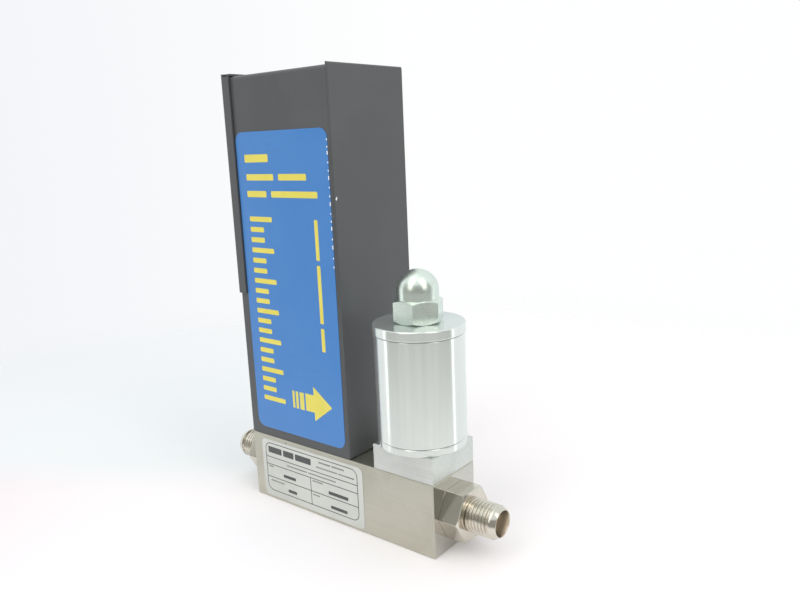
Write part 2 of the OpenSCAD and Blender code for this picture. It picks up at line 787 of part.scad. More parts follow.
module jackscrews() {
    color("#b7b7b0") for (s = [-1, 1])
        translate([cover_x0, case_yc, dsub_z + s * dsub_screw_pitch / 2]) rotate([0, -90, 0]) difference() {
            union() {
                cylinder(r = jack_af / sqrt(3), h = jack_h, $fn = 6);
                translate([0, 0, -4]) cylinder(r = jack_r, h = 4 + eps);
            }
            translate([0, 0, 1]) cylinder(r = 1.1, h = jack_h);
        }
}

module connector_board() {
    color("#1f5a3a") difference() {
        translate([small_board_x, case_yc - small_board.x / 2, dsub_z - small_board.y / 2])
            cube([board_t, small_board.x, small_board.y]);
        for (p = contact_places())
            translate([small_board_x - 1, case_yc + p.x, dsub_z + p.y]) rotate([0, 90, 0])
                cylinder(r = 0.5, h = board_t + 2, $fn = 16);
    }
}

// Flat cable seen along Z: out of the small board, round a bend, into the main board
module ribbon_section() {
    start = small_board_x + board_t + header_h;
    end = main_board_y - header_h;
    translate([start, ribbon_y - ribbon_t / 2]) square([ribbon_x - ribbon_bend - start, ribbon_t]);
    translate([ribbon_x - ribbon_t / 2, ribbon_y + ribbon_bend])
        square([ribbon_t, end - ribbon_y - ribbon_bend]);
    translate([ribbon_x - ribbon_bend, ribbon_y + ribbon_bend]) intersection() {
        difference() {
            circle(r = ribbon_bend + ribbon_t / 2);
            circle(r = ribbon_bend - ribbon_t / 2);
        }
        translate([0, -2 * ribbon_bend]) square([2 * ribbon_bend, 2 * ribbon_bend]);
    }
}

module ribbon_cable() {
    color("#8e9093") translate([0, 0, ribbon_z]) linear_extrude(ribbon_w) ribbon_section();
}

module ribbon_headers() {
    side = 3;
    low = ribbon_z - 1.5;
    high = ribbon_z + ribbon_w + 1.5;
    color("#1c1d20") {
        span([small_board_x + board_t, ribbon_y - side, low],
             [small_board_x + board_t + header_h, ribbon_y + side, high]);
        span([ribbon_x - side, main_board_y - header_h, low], [ribbon_x + side, main_board_y, high]);
    }
}

module main_board() {
    color("#1f5a3a") difference() {
        span([main_board_x[0], main_board_y, main_board_z[0]],
             [main_board_x[1], main_board_y + board_t, main_board_z[1]]);
        for (p = standoff_places())
            y_rod([p.x, main_board_y - 1, p.y], small_screw[0] + 0.2, board_t + 2);
    }
}

// Parts soldered on the front of the main board
module board_parts() {
    chip = [12, 12];
    chip_x = case_x0 + 40;
    low_z = floor_top + 50;
    color("#26282b") {
        span([chip_x, main_board_y - 1.6, low_z], [chip_x + chip.x, main_board_y, low_z + chip.y]);
        span([chip_x - 2, main_board_y - 9, low_z + 50], [chip_x + 12, main_board_y, low_z + 64]);
        for (i = [0 : 2])
            y_rod([case_x0 + 18, main_board_y - 11, low_z + 72 - i * 9.5], 4, 11);
    }
}

module board_standoffs() {
    color("#b7b7b0") for (p = standoff_places()) difference() {
        y_rod([p.x, main_board_y + board_t, p.y], standoff_r, standoff_h);
        y_rod([p.x, main_board_y + board_t - 1, p.y], small_screw[0] + fit_gap / 2, standoff_h + 2);
    }
}

module board_screws() {
    color("#8f8f8c") for (p = standoff_places())
        translate([p.x, main_board_y, p.y]) rotate([90, 0, 0])
            pan_screw(small_screw, board_t + standoff_h + sheet_t);
}

// ---- Labels ----

module front_label() {
    x0 = cover_x0 + cover_lip + label_lip_gap;
    z0 = body_h + label_lift;
    size = [case_x1 - label_end_gap - x0, case_z1 - label_drop - z0];
    color("#4f86c6") front_plate(x0, z0, case_y0 - label_t, size, label_r, label_t);
}

module rating_label() {
    size = [rating_l, body_h - rating_margin[0] - rating_margin[1]];
    color("#dedfe0")
        front_plate(rating_start - body_x, rating_margin[0], -body_y - label_t, size, rating_r, label_t);
}

// ---- Valve ----

module valve_block() {
    head_depth = m3_screw[2] + 0.4;
    color("#c3c3bd") difference() {
        translate([valve_x, 0, body_h]) machined_block(block_l, body_w, block_h, edge_break);
        z_rod([valve_x, 0, chamber_floor], ledge_r, chamber_depth);
        z_rod([valve_x, 0, block_top - flange_h - guide_seal_d - fit_gap / 2], chamber_r, flange_h);
        z_rod([valve_x, 0, block_top - flange_h], flange_r + fit_gap, flange_h + eps);
        z_rod([valve_x, 0, body_h - eps], riser_in_r, 1 + 2 * eps);
        z_rod([valve_x, 0, body_h + 1], seat_r + fit_gap / 2, block_h);
        z_rod([valve_x + riser_offset, 0, body_h - eps], riser_out_r, chamber_floor - body_h + 0.5);
        for (p = valve_screw_places()) {
            z_rod([p.x, p.y, body_h - eps], m3_screw[0] + 0.2, block_h);
            z_rod([p.x, p.y, block_top - head_depth], m3_screw[1] + 0.2, head_depth + eps);
        }
    }
}

module valve_seals() {
    z = body_h - riser_seal_d / 2;
    color("#1d1d1f") {
        translate([valve_x, 0, z]) o_ring(riser_in_seal_r, riser_seal_d);
        translate([valve_x + riser_offset, 0, z]) o_ring(riser_out_seal_r, riser_seal_d);
    }
}

module valve_screws() {
    head_depth = m3_screw[2] + 0.4;
    color("#8f8f8c") for (p = valve_screw_places())
        translate([p.x, p.y, block_top - head_depth])
            cap_screw(m3_screw, block_h - head_depth + valve_screw_depth - 1);
}

// Seat insert with a raised lip round the orifice
module valve_orifice() {
    low = body_h + 1;
    lip = 0.5;
    color("#c9c6bd") translate([valve_x, 0, low]) difference() {
        rotate_extrude() polygon([
            [0, 0], [seat_r, 0], [seat_r, seat_top - low - lip], [orifice_r + 1.1, seat_top - low - lip],
            [orifice_r + 0.5, seat_top - low], [0, seat_top - low]
        ]);
        translate([0, 0, -1]) cylinder(r = orifice_r, h = seat_top);
        translate([0, 0, -1]) cylinder(r = riser_in_r, h = 1 + chamber_floor - low);
    }
}

module guide_tube() {
    z0 = block_top - flange_h;
    color("#c9c6bd") translate([valve_x, 0, z0]) difference() {
        union() {
            cylinder(r = flange_r, h = flange_h);
            cylinder(r = guide_r, h = guide_top - z0);
        }
        translate([0, 0, -1]) cylinder(r = guide_r - guide_wall, h = guide_top);
        translate([0, 0, -1]) cylinder(r = ledge_r, h = 1 + 1);
    }
}

// O-ring below the guide tube's flange, on the ledge round the chamber
module guide_seal() {
    color("#1d1d1f") translate([valve_x, 0, block_top - flange_h - guide_seal_d / 2])
        o_ring((chamber_r + ledge_r) / 2, guide_seal_d);
}

// Core plug in the guide tube, its collar on the tube's end, and the stud for the nut
module fixed_core() {
    collar_h = 4;
    stud_top = cap_top + nut_h + dome_wall;
    color("#a9a9a4") translate([valve_x, 0, 0]) rotate_extrude() polygon([
        [0, core_z0], [guide_r - guide_wall - fit_gap / 2, core_z0],
        [guide_r - guide_wall - fit_gap / 2, guide_top], [guide_r, guide_top],
        [guide_r, guide_top + collar_h],
        [stud_r, guide_top + collar_h], [stud_r, stud_top - 1], [stud_r - 1, stud_top], [0, stud_top]
    ]);
}

// Iron plunger: a pocket for the spring on top, a socket for the soft disc below
module plunger() {
    color("#8c8c89") translate([valve_x, 0, 0]) difference() {
        rotate_extrude() polygon([
            [0, plunger_z0 + 0.4], [plunger_r - 0.8, plunger_z0 + 0.4], [plunger_r, plunger_z0 + 1.2],
            [plunger_r, plunger_z1 - 0.5], [plunger_r - 0.5, plunger_z1], [0, plunger_z1]
        ]);
        translate([0, 0, plunger_z0 - 1]) cylinder(r = disc_r + fit_gap / 2, h = 1 + disc_h);
        translate([0, 0, plunger_z1 - spring_pocket_depth])
            cylinder(r = spring_pocket_r, h = spring_pocket_depth + 1);
    }
}

module plunger_disc() {
    color("#2a2a2c") z_rod([valve_x, 0, plunger_z0], disc_r, disc_h);
}

// Points of one ring of the spring's wire: turn a, in degrees, and height z
function wire_ring(a, z, sides) = [
    for (j = [0 : sides - 1]) let (b = j * 360 / sides)
        [(spring_r + spring_wire_r * cos(b)) * cos(a), (spring_r + spring_wire_r * cos(b)) * sin(a),
         z + spring_wire_r * sin(b)]
];

module plunger_spring() {
    sides = 6;
    per_turn = 14;
    rings = spring_turns * per_turn;
    low = plunger_z1 - spring_pocket_depth + spring_wire_r + 0.02;
    high = core_z0 - spring_wire_r - 0.02;
    points = [
        for (i = [0 : rings]) each wire_ring(i * 360 / per_turn, low + (high - low) * i / rings, sides)
    ];
    walls = [
        for (i = [0 : rings - 1], j = [0 : sides - 1]) let (k = (j + 1) % sides, a = i * sides, b = a + sides)
            each [[a + j, b + j, b + k], [a + j, b + k, a + k]]
    ];
    ends = [[for (j = [0 : sides - 1]) j], [for (j = [sides - 1 : -1 : 0]) rings * sides + j]];
    color("#b9b9b4") translate([valve_x, 0, 0]) polyhedron(points, concat(walls, ends));
}

module coil_bobbin() {
    hub_r = guide_r + fit_gap + bobbin_wall;
    color("#d8d2c0") translate([valve_x, 0, 0]) difference() {
        union() {
            z_rod([0, 0, bobbin_z0], hub_r, bobbin_z1 - bobbin_z0);
            for (z = [bobbin_z0, bobbin_z1 - bobbin_flange]) z_rod([0, 0, z], bobbin_r, bobbin_flange);
        }
        z_rod([0, 0, bobbin_z0 - 1], guide_r + fit_gap, bobbin_z1);
    }
}

module coil_winding() {
    hub_r = guide_r + fit_gap + bobbin_wall + fit_gap / 2;
    z0 = bobbin_z0 + bobbin_flange;
    h = bobbin_z1 - bobbin_flange - z0;
    color("#a5562b") translate([valve_x, 0, z0]) difference() {
        cylinder(r = bobbin_r - 1.2, h = h);
        translate([0, 0, -1]) cylinder(r = hub_r, h = h + 2);
    }
}

module base_ring() {
    edge = 0.3;
    color("#bdbdb8") translate([valve_x, 0, block_top]) difference() {
        rotate_extrude() polygon([
            [0, 0], [sleeve_r - edge, 0], [sleeve_r, edge], [sleeve_r, ring_h - edge],
            [sleeve_r - edge, ring_h], [0, ring_h]
        ]);
        translate([0, 0, -1]) cylinder(r = guide_r + fit_gap, h = ring_h + 2);
    }
}

module solenoid_sleeve() {
    edge = 0.25;
    color("#c9cccd") translate([valve_x, 0, ring_top]) difference() {
        rotate_extrude() polygon([
            [0, 0], [sleeve_r - edge, 0], [sleeve_r, edge], [sleeve_r, sleeve_h - edge],
            [sleeve_r - edge, sleeve_h], [0, sleeve_h]
        ]);
        translate([0, 0, -1]) cylinder(r = sleeve_r - sleeve_wall, h = sleeve_h + 2);
    }
}

module top_cap() {
    edge = 0.4;
    color("#c9cccd") translate([valve_x, 0, sleeve_top]) difference() {
        rotate_extrude() polygon([
            [0, -cap_register], [sleeve_r - sleeve_wall - fit_gap, -cap_register],
            [sleeve_r - sleeve_wall - fit_gap, 0], [cap_r - edge, 0], [cap_r, edge], [cap_r, cap_h - edge],
            [cap_r - edge, cap_h], [0, cap_h]
        ]);
        translate([0, 0, -cap_register - 1]) cylinder(r = guide_r + fit_gap, h = 2 * cap_register + 1);
        translate([0, 0, -1]) cylinder(r = stud_r + 2 * fit_gap, h = cap_h + 2);
    }
}

module acorn_nut() {
    base_h = nut_h + dome_wall;
    color("#c7cbbf") translate([valve_x, 0, cap_top]) rotate(nut_turn) difference() {
        union() {
            turned_hex(nut_af, nut_h, true, true, 0.97);
            cylinder(r = dome_r, h = base_h);
            translate([0, 0, base_h]) rotate_extrude() intersection() {
                circle(r = dome_r);
                square([dome_r, dome_r]);
            }
        }
        translate([0, 0, -1]) cylinder(r = stud_r + fit_gap, h = base_h + 2);
    }
}

flow_body();
inlet_fitting();
outlet_fitting();
fitting_seals();
inlet_screen();
flow_restrictor();
sensor_base();
sensor_seals();
sensor_tube();
sensor_windings();
sensor_can();
sensor_screws();
chassis();
chassis_screws();
housing_wrap();
wrap_screws();
inlet_cover();
cover_screws();
connector_shell();
connector_insert();
connector_pins();
jackscrews();
connector_board();
ribbon_cable();
ribbon_headers();
main_board();
board_parts();
board_standoffs();
board_screws();
front_label();
rating_label();
valve_block();
valve_seals();
valve_screws();
valve_orifice();
guide_tube();
guide_seal();
fixed_core();
plunger();
plunger_disc();
plunger_spring();
coil_bobbin();
coil_winding();
base_ring();
solenoid_sleeve();
top_cap();
acorn_nut();
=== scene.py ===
"""Looks of the mass flow controller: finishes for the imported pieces, and the threads and print they lack.

Metres, in the part's own frame: +X along the flow, -Y the labelled front, +Z up.
"""
import json
import math

import bmesh
import bpy
from mathutils import Matrix, Vector


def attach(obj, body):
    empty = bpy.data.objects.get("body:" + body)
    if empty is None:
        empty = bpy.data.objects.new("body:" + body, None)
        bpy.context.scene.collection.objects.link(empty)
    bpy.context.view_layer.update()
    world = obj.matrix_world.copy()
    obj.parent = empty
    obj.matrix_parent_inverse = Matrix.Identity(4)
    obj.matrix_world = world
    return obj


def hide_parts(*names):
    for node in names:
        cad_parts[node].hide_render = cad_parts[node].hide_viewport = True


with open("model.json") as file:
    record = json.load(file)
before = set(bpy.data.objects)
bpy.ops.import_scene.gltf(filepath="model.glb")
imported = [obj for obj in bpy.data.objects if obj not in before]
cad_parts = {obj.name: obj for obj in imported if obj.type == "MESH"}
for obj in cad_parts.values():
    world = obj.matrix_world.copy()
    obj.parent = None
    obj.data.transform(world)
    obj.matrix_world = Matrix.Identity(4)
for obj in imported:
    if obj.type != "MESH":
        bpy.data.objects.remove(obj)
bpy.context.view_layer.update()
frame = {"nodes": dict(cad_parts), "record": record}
MM = 0.001
EDGE_R = 0.00018
BODY = "controller"
BODY_END = 50.8
FLOW_Z = 15.5
VALVE_X = 36.25
LOW_JOINT_Z = 44.01
HIGH_JOINT_Z = 85.71
AHEAD = (0.611, -0.791, 0.0)


# ---- Colours and node helpers ----

def srgb(red, green, blue):
    """Linear colour of an 8-bit display colour."""
    def linear(value):
        share = value / 255
        return share / 12.92 if share <= 0.04045 else ((share + 0.055) / 1.055) ** 2.4
    return (linear(red), linear(green), linear(blue), 1.0)


def add_node(tree, kind, inputs=None, **settings):
    """A shader node; inputs maps socket names or numbers to values or to other sockets."""
    made = tree.nodes.new("ShaderNode" + kind)
    for key, value in settings.items():
        setattr(made, key, value)
    for key, value in (inputs or {}).items():
        if isinstance(value, bpy.types.NodeSocket):
            tree.links.new(value, made.inputs[key])
        else:
            made.inputs[key].default_value = value
    return made


def maths(tree, operation, first, second=0.0, clamp=False):
    made = add_node(tree, "Math", {0: first, 1: second}, operation=operation)
    made.use_clamp = clamp
    return made.outputs[0]


def remap(tree, value, low, high, to_low=0.0, to_high=1.0, smooth=False):
    kind = "SMOOTHSTEP" if smooth else "LINEAR"
    made = add_node(tree, "MapRange", {0: value, 1: low, 2: high, 3: to_low, 4: to_high}, interpolation_type=kind)
    return made.outputs[0]


def toward(tree, vector, direction):
    """How far a vector reaches along a direction."""
    made = add_node(tree, "VectorMath", {0: vector, 1: direction}, operation="DOT_PRODUCT")
    return made.outputs["Value"]


def off_axis(tree, place, socket, centre):
    """Distance from an axis that crosses y = 0; socket is the other coordinate, and centre its place in mm."""
    y_part = maths(tree, "MULTIPLY", place.outputs[1], place.outputs[1])
    other_part = maths(tree, "POWER", maths(tree, "SUBTRACT", place.outputs[socket], centre * MM), 2.0)
    return maths(tree, "SQRT", maths(tree, "ADD", y_part, other_part))


def mixed(tree, share, first, second):
    made = add_node(tree, "Mix", data_type="RGBA")
    for socket, value in ((made.inputs[0], share), (made.inputs[6], first), (made.inputs[7], second)):
        if isinstance(value, bpy.types.NodeSocket):
            tree.links.new(value, socket)
        else:
            socket.default_value = value
    return made.outputs[2]


def new_group(name, inputs, outputs):
    """Empty node group with its sockets; inputs are (name, kind, default)."""
    tree = bpy.data.node_groups.new(name, "ShaderNodeTree")
    for label, kind, default in inputs:
        socket = tree.interface.new_socket(label, in_out="INPUT", socket_type="NodeSocket" + kind)
        socket.default_value = default
    for label, kind in outputs:
        tree.interface.new_socket(label, in_out="OUTPUT", socket_type="NodeSocket" + kind)
    return tree, tree.nodes.new("NodeGroupInput"), tree.nodes.new("NodeGroupOutput")


# ---- Surface effects, each built once ----

def make_tool_lines():
    """Fine lines left by a tool: noise stretched by Scale, 0 to 1."""
    tree, start, end = new_group(
        "tool_lines", [("Scale", "Vector", (1, 1, 1)), ("Contrast", "Float", 1.0)], [("Lines", "Float")])
    place = add_node(tree, "TexCoord").outputs["Object"]
    scaled = add_node(tree, "VectorMath", {0: place, 1: start.outputs["Scale"]}, operation="MULTIPLY").outputs[0]
    noise = add_node(tree, "TexNoise", {"Vector": scaled, "Scale": 1.0, "Detail": 4.0, "Roughness": 0.65})
    centred = maths(tree, "SUBTRACT", noise.outputs[0], 0.5)
    spread = maths(tree, "MULTIPLY", centred, start.outputs["Contrast"])
    tree.links.new(maths(tree, "ADD", spread, 0.5, clamp=True), end.inputs["Lines"])
    return tree


def make_smudges():
    """Soft patches of handling marks, 0 to 1; Size in metres."""
    tree, start, end = new_group(
        "smudges", [("Size", "Float", 0.02), ("Seed", "Float", 0.0)], [("Patches", "Float")])
    place = add_node(tree, "TexCoord").outputs["Object"]
    density = maths(tree, "DIVIDE", 1.0, start.outputs["Size"])
    noise = add_node(
        tree, "TexNoise",
        {"Vector": place, "W": start.outputs["Seed"], "Scale": density, "Detail": 5.0, "Roughness": 0.6,
         "Distortion": 0.6},
        noise_dimensions="4D")
    tree.links.new(remap(tree, noise.outputs[0], 0.38, 0.68, smooth=True), end.inputs["Patches"])
    return tree


def make_specks():
    """Small scattered spots, 0 or near 1; Spacing in metres, Spread is the share of cells that hold one."""
    tree, start, end = new_group(
        "specks", [("Spacing", "Float", 0.004), ("Spread", "Float", 0.1)], [("Spots", "Float")])
    place = add_node(tree, "TexCoord").outputs["Object"]
    density = maths(tree, "DIVIDE", 1.0, start.outputs["Spacing"])
    cells = add_node(tree, "TexVoronoi", {"Vector": place, "Scale": density})
    near = remap(tree, cells.outputs["Distance"], 0.04, 0.16, 1.0, 0.0, smooth=True)
    chance = add_node(tree, "SeparateColor", {0: cells.outputs["Color"]}).outputs[0]
    chosen = maths(tree, "LESS_THAN", chance, start.outputs["Spread"])
    tree.links.new(maths(tree, "MULTIPLY", near, chosen), end.inputs["Spots"])
    return tree


def make_powder_coat():
    """Fine orange-peel height of a sprayed coat."""
    tree, start, end = new_group(
        "powder_coat", [("Size", "Float", 0.0006)], [("Height", "Float")])
    place = add_node(tree, "TexCoord").outputs["Object"]
    density = maths(tree, "DIVIDE", 1.0, start.outputs["Size"])
    coarse = add_node(tree, "TexNoise", {"Vector": place, "Scale": density, "Detail": 2.0, "Roughness": 0.5})
    tree.links.new(coarse.outputs[0], end.inputs["Height"])
    return tree


EFFECTS = {
    "tool_lines": make_tool_lines(),
    "smudges": make_smudges(),
    "specks": make_specks(),
    "powder_coat": make_powder_coat(),
}


def effect(tree, name, **values):
    made = tree.nodes.new("ShaderNodeGroup")
    made.node_tree = EFFECTS[name]
    for key, value in values.items():
        made.inputs[key].default_value = value
    return made.outputs[0]


def new_finish(name, **constants):
    """A material with its Principled shader; constants are plain values on its sockets."""
    material = bpy.data.materials.new(name)
    material.use_nodes = True
    tree = material.node_tree
    shader = tree.nodes["Principled BSDF"]
    for key, value in constants.items():
        shader.inputs[key.replace("_", " ")].default_value = value
    return material, tree, shader


def set_bump(tree, shader, height, depth, edge_r=EDGE_R):
    edge = add_node(tree, "Bevel", {"Radius": edge_r}, samples=6).outputs[0]
    bump = add_node(tree, "Bump", {"Height": height, "Distance": depth, "Normal": edge})
    tree.links.new(bump.outputs[0], shader.inputs["Normal"])


# ---- Finishes ----

def machined_metal(name, colour, dark, scale, rough, contrast=1.6, depth=2e-6, marks=0.02, spots=0.05, seed=0.0,
                   brushed=0.0, waves=0.0, edge_r=EDGE_R, **constants):
    """Bare metal with tool lines, handling marks and a few dark spots; rough is (least, most).

    brushed adds wider, fainter lines along the same way, and waves makes the surface slightly uneven.
    """
    material, tree, shader = new_finish(name, Metallic=1.0, **constants)
    lines = effect(tree, "tool_lines", Scale=scale, Contrast=contrast)
    patches = effect(tree, "smudges", Size=marks, Seed=seed)
    stain = effect(tree, "specks", Spacing=0.006, Spread=spots)
    share = maths(tree, "MULTIPLY", maths(tree, "ADD", lines, patches), 0.5)
    toned = mixed(tree, share, colour, dark)
    if brushed:
        wide = effect(tree, "tool_lines", Scale=tuple(0.16 * along for along in scale), Contrast=2.6)
        toned = mixed(tree, maths(tree, "MULTIPLY", wide, brushed), toned, (0.0, 0.0, 0.0, 1.0))
    faint = maths(tree, "MULTIPLY", stain, 0.35)
    tree.links.new(mixed(tree, faint, toned, srgb(110, 100, 84)), shader.inputs["Base Color"])
    tree.links.new(remap(tree, share, 0.2, 0.8, rough[0], rough[1]), shader.inputs["Roughness"])
    height = lines
    if waves:
        uneven = effect(tree, "smudges", Size=0.004, Seed=seed + 30.0)
        height = maths(tree, "ADD", lines, maths(tree, "MULTIPLY", uneven, waves))
    set_bump(tree, shader, height, depth, edge_r)
    return material


def body_metal():
    """Milled block: satin sides with lines along the flow, ends faced on a lathe and polished like a mirror."""
    material = machined_metal(
        "body_steel", srgb(208, 206, 193), srgb(198, 196, 183), ALONG_X, (0.36, 0.48), spots=0.16, seed=1.0,
        brushed=0.06)
    tree = material.node_tree
    shader = tree.nodes["Principled BSDF"]
    coord = add_node(tree, "TexCoord")
    across = add_node(tree, "SeparateXYZ", {0: coord.outputs["Normal"]}).outputs[0]
    end_face = maths(tree, "GREATER_THAN", maths(tree, "ABSOLUTE", across), 0.9)
    place = add_node(tree, "SeparateXYZ", {0: coord.outputs["Object"]})
    radius = off_axis(tree, place, 2, FLOW_Z)
    turned_lines = add_node(tree, "TexNoise", {"W": maths(tree, "MULTIPLY", radius, 6000.0)}, noise_dimensions="1D")
    rim = remap(tree, maths(tree, "ABSOLUTE", maths(tree, "SUBTRACT", radius, 0.0152)), 0.0, 0.00022, 1.0, 0.0)
    patches = effect(tree, "smudges", Size=0.008, Seed=21.0)
    old_rough = shader.inputs["Roughness"].links[0].from_socket
    old_colour = shader.inputs["Base Color"].links[0].from_socket
    end_rough = remap(tree, patches, 0, 1, 0.05, 0.11)
    rough = add_node(tree, "Mix", {0: end_face, 2: old_rough, 3: end_rough}).outputs[0]
    tree.links.new(rough, shader.inputs["Roughness"])
    tree.links.new(mixed(tree, end_face, old_colour, srgb(206, 205, 198)), shader.inputs["Base Color"])
    bump = shader.inputs["Normal"].links[0].from_node
    lines = bump.inputs["Height"].links[0].from_socket
    fine = maths(tree, "MULTIPLY", turned_lines.outputs[0], 0.08)
    faced = maths(tree, "ADD", fine, maths(tree, "MULTIPLY", rim, 12.0))
    height = add_node(tree, "Mix", {0: end_face, 2: lines, 3: faced}).outputs[0]
    tree.links.new(height, bump.inputs["Height"])
    return material


def fitting_metal():
    """Turned steel of the tube fittings, brighter and a little rougher inside the socket."""
    material = machined_metal(
        "fitting_steel", srgb(228, 223, 213), srgb(212, 206, 193), (9000.0, 700.0, 700.0), (0.12, 0.22), seed=3.0)
    tree = material.node_tree
    shader = tree.nodes["Principled BSDF"]
    place = add_node(tree, "SeparateXYZ", {0: add_node(tree, "TexCoord").outputs["Object"]})
    radius = off_axis(tree, place, 2, FLOW_Z)
    inside = remap(tree, radius, 0.00535, 0.0052)
    old_colour = shader.inputs["Base Color"].links[0].from_socket
    old_rough = shader.inputs["Roughness"].links[0].from_socket
    tree.links.new(mixed(tree, inside, old_colour, srgb(246, 238, 226)), shader.inputs["Base Color"])
    tree.links.new(add_node(tree, "Mix", {0: inside, 2: old_rough, 3: 0.26}).outputs[0], shader.inputs["Roughness"])
    return material


def turned_aluminium():
    """Aluminium with lathe lines that smear reflections up and down, faint upright streaks and dark joints."""
    material = machined_metal(
        "sleeve_steel", srgb(242, 246, 244), srgb(235, 239, 236), (250.0, 250.0, 14000.0), (0.17, 0.22),
        contrast=1.0, depth=3e-7, marks=0.04, spots=0.0, seed=4.0, edge_r=0.0003, Anisotropic=0.85, Sheen_Weight=0.1)
    tree = material.node_tree
    shader = tree.nodes["Principled BSDF"]
    shader.inputs["Metallic"].default_value = 0.82
    around = add_node(tree, "Tangent", direction_type="RADIAL", axis="Z")
    tree.links.new(around.outputs[0], shader.inputs["Tangent"])
    shader.inputs["Anisotropic Rotation"].default_value = 0.25
    streaks = effect(tree, "tool_lines", Scale=(420.0, 420.0, 9.0), Contrast=1.5)
    plain = shader.inputs["Base Color"].links[0].from_socket
    faint = maths(tree, "MULTIPLY", streaks, 0.22)
    streaked = mixed(tree, faint, plain, srgb(186, 190, 184))
    coord = add_node(tree, "TexCoord")
    place = add_node(tree, "SeparateXYZ", {0: coord.outputs["Object"]})
    above_low = maths(tree, "ABSOLUTE", maths(tree, "SUBTRACT", place.outputs[2], LOW_JOINT_Z * MM))
    above_high = maths(tree, "ABSOLUTE", maths(tree, "SUBTRACT", place.outputs[2], HIGH_JOINT_Z * MM))
    joint = remap(tree, maths(tree, "MINIMUM", above_low, above_high), 0.00008, 0.00016, 0.85, 0.0, smooth=True)
    jointed = mixed(tree, joint, streaked, srgb(84, 86, 82))
    radius = off_axis(tree, place, 0, VALVE_X)
    rings = add_node(tree, "TexNoise", {"W": maths(tree, "MULTIPLY", radius, 1400.0)}, noise_dimensions="1D")
    faced = mixed(tree, rings.outputs[0], srgb(196, 205, 203), srgb(236, 243, 241))
    upward = add_node(tree, "SeparateXYZ", {0: coord.outputs["Normal"]}).outputs[2]
    top_face = maths(tree, "GREATER_THAN", upward, 0.9)
    tree.links.new(mixed(tree, top_face, jointed, faced), shader.inputs["Base Color"])
    return material


def case_paint():
    """Dark satin paint on sheet metal, with a fine texture, rubbed patches, pale dust specks, and painted reflected
    light on the lower side that faces the valve.
    """
    material, tree, shader = new_finish("case_paint", IOR=1.5)
    peel = effect(tree, "powder_coat", Size=0.0009)
    patches = effect(tree, "smudges", Size=0.05, Seed=3.0)
    dust = effect(tree, "specks", Spacing=0.0035, Spread=0.04)
    plain = mixed(tree, patches, srgb(78, 80, 82), srgb(85, 87, 89))
    coord = add_node(tree, "TexCoord")
    height = add_node(tree, "SeparateXYZ", {0: coord.outputs["Object"]}).outputs[2]
    toward_valve = add_node(tree, "SeparateXYZ", {0: coord.outputs["Normal"]}).outputs[0]
    # Painted reflected light: the lower part of the side facing the valve is lighter, as if lit by the bright valve
    # beside it.
    valve_side_painted_light = maths(
        tree, "MULTIPLY", remap(tree, height, 0.115, 0.035, 0.0, 0.8, smooth=True), toward_valve, clamp=True)
    toned = mixed(tree, valve_side_painted_light, plain, srgb(102, 104, 106))
    faint = maths(tree, "MULTIPLY", dust, 0.18)
    tree.links.new(mixed(tree, faint, toned, srgb(190, 190, 188)), shader.inputs["Base Color"])
    tree.links.new(remap(tree, patches, 0, 1, 0.34, 0.46), shader.inputs["Roughness"])
    set_bump(tree, shader, peel, 1.2e-5)
    return material


def plain_plastic(name, colour, other, rough):
    """Moulded plastic, rubber or blackened steel with a fine grain."""
    material, tree, shader = new_finish(name, IOR=1.48)
    patches = effect(tree, "smudges", Size=0.012, Seed=7.0)
    grain = effect(tree, "powder_coat", Size=0.0008)
    tree.links.new(mixed(tree, patches, colour, other), shader.inputs["Base Color"])
    tree.links.new(remap(tree, patches, 0, 1, rough[0], rough[1]), shader.inputs["Roughness"])
    set_bump(tree, shader, grain, 6e-6)
    return material


def wound_wire(name, axis_scale):
    """Enamelled copper wire laid in turns."""
    material, tree, shader = new_finish(name, Metallic=0.85, Coat_Weight=0.4, Coat_Roughness=0.2)
    lines = effect(tree, "tool_lines", Scale=axis_scale, Contrast=3.0)
    tree.links.new(mixed(tree, lines, srgb(150, 78, 40), srgb(206, 128, 78)), shader.inputs["Base Color"])
    tree.links.new(remap(tree, lines, 0, 1, 0.28, 0.42), shader.inputs["Roughness"])
    set_bump(tree, shader, lines, 6e-5)
    return material


def circuit_board():
    """Green solder resist over copper tracks."""
    material, tree, shader = new_finish("circuit_board", IOR=1.5, Coat_Weight=0.5, Coat_Roughness=0.12)
    place = add_node(tree, "TexCoord").outputs["Object"]
    squares = add_node(tree, "TexVoronoi", {"Vector": place, "Scale": 260.0}, feature="F1", distance="CHEBYCHEV")
    tracks = remap(tree, squares.outputs["Distance"], 0.30, 0.36)
    patches = effect(tree, "smudges", Size=0.02, Seed=5.0)
    tree.links.new(mixed(tree, tracks, srgb(26, 96, 58), srgb(40, 122, 74)), shader.inputs["Base Color"])
    tree.links.new(remap(tree, patches, 0, 1, 0.3, 0.45), shader.inputs["Roughness"])
    set_bump(tree, shader, tracks, 2e-5)
    return material


def flat_cable():
    material, tree, shader = new_finish("flat_cable", IOR=1.48)
    place = add_node(tree, "TexCoord").outputs["Object"]
    wires = add_node(tree, "TexWave", {"Vector": place, "Scale": 250.0, "Distortion": 0.0}, bands_direction="Z")
    patches = effect(tree, "smudges", Size=0.01, Seed=2.0)
    tree.links.new(mixed(tree, patches, srgb(150, 152, 154), srgb(168, 170, 172)), shader.inputs["Base Color"])
    tree.links.new(remap(tree, patches, 0, 1, 0.4, 0.5), shader.inputs["Roughness"])
    set_bump(tree, shader, wires.outputs[1], 3e-4)
    return material


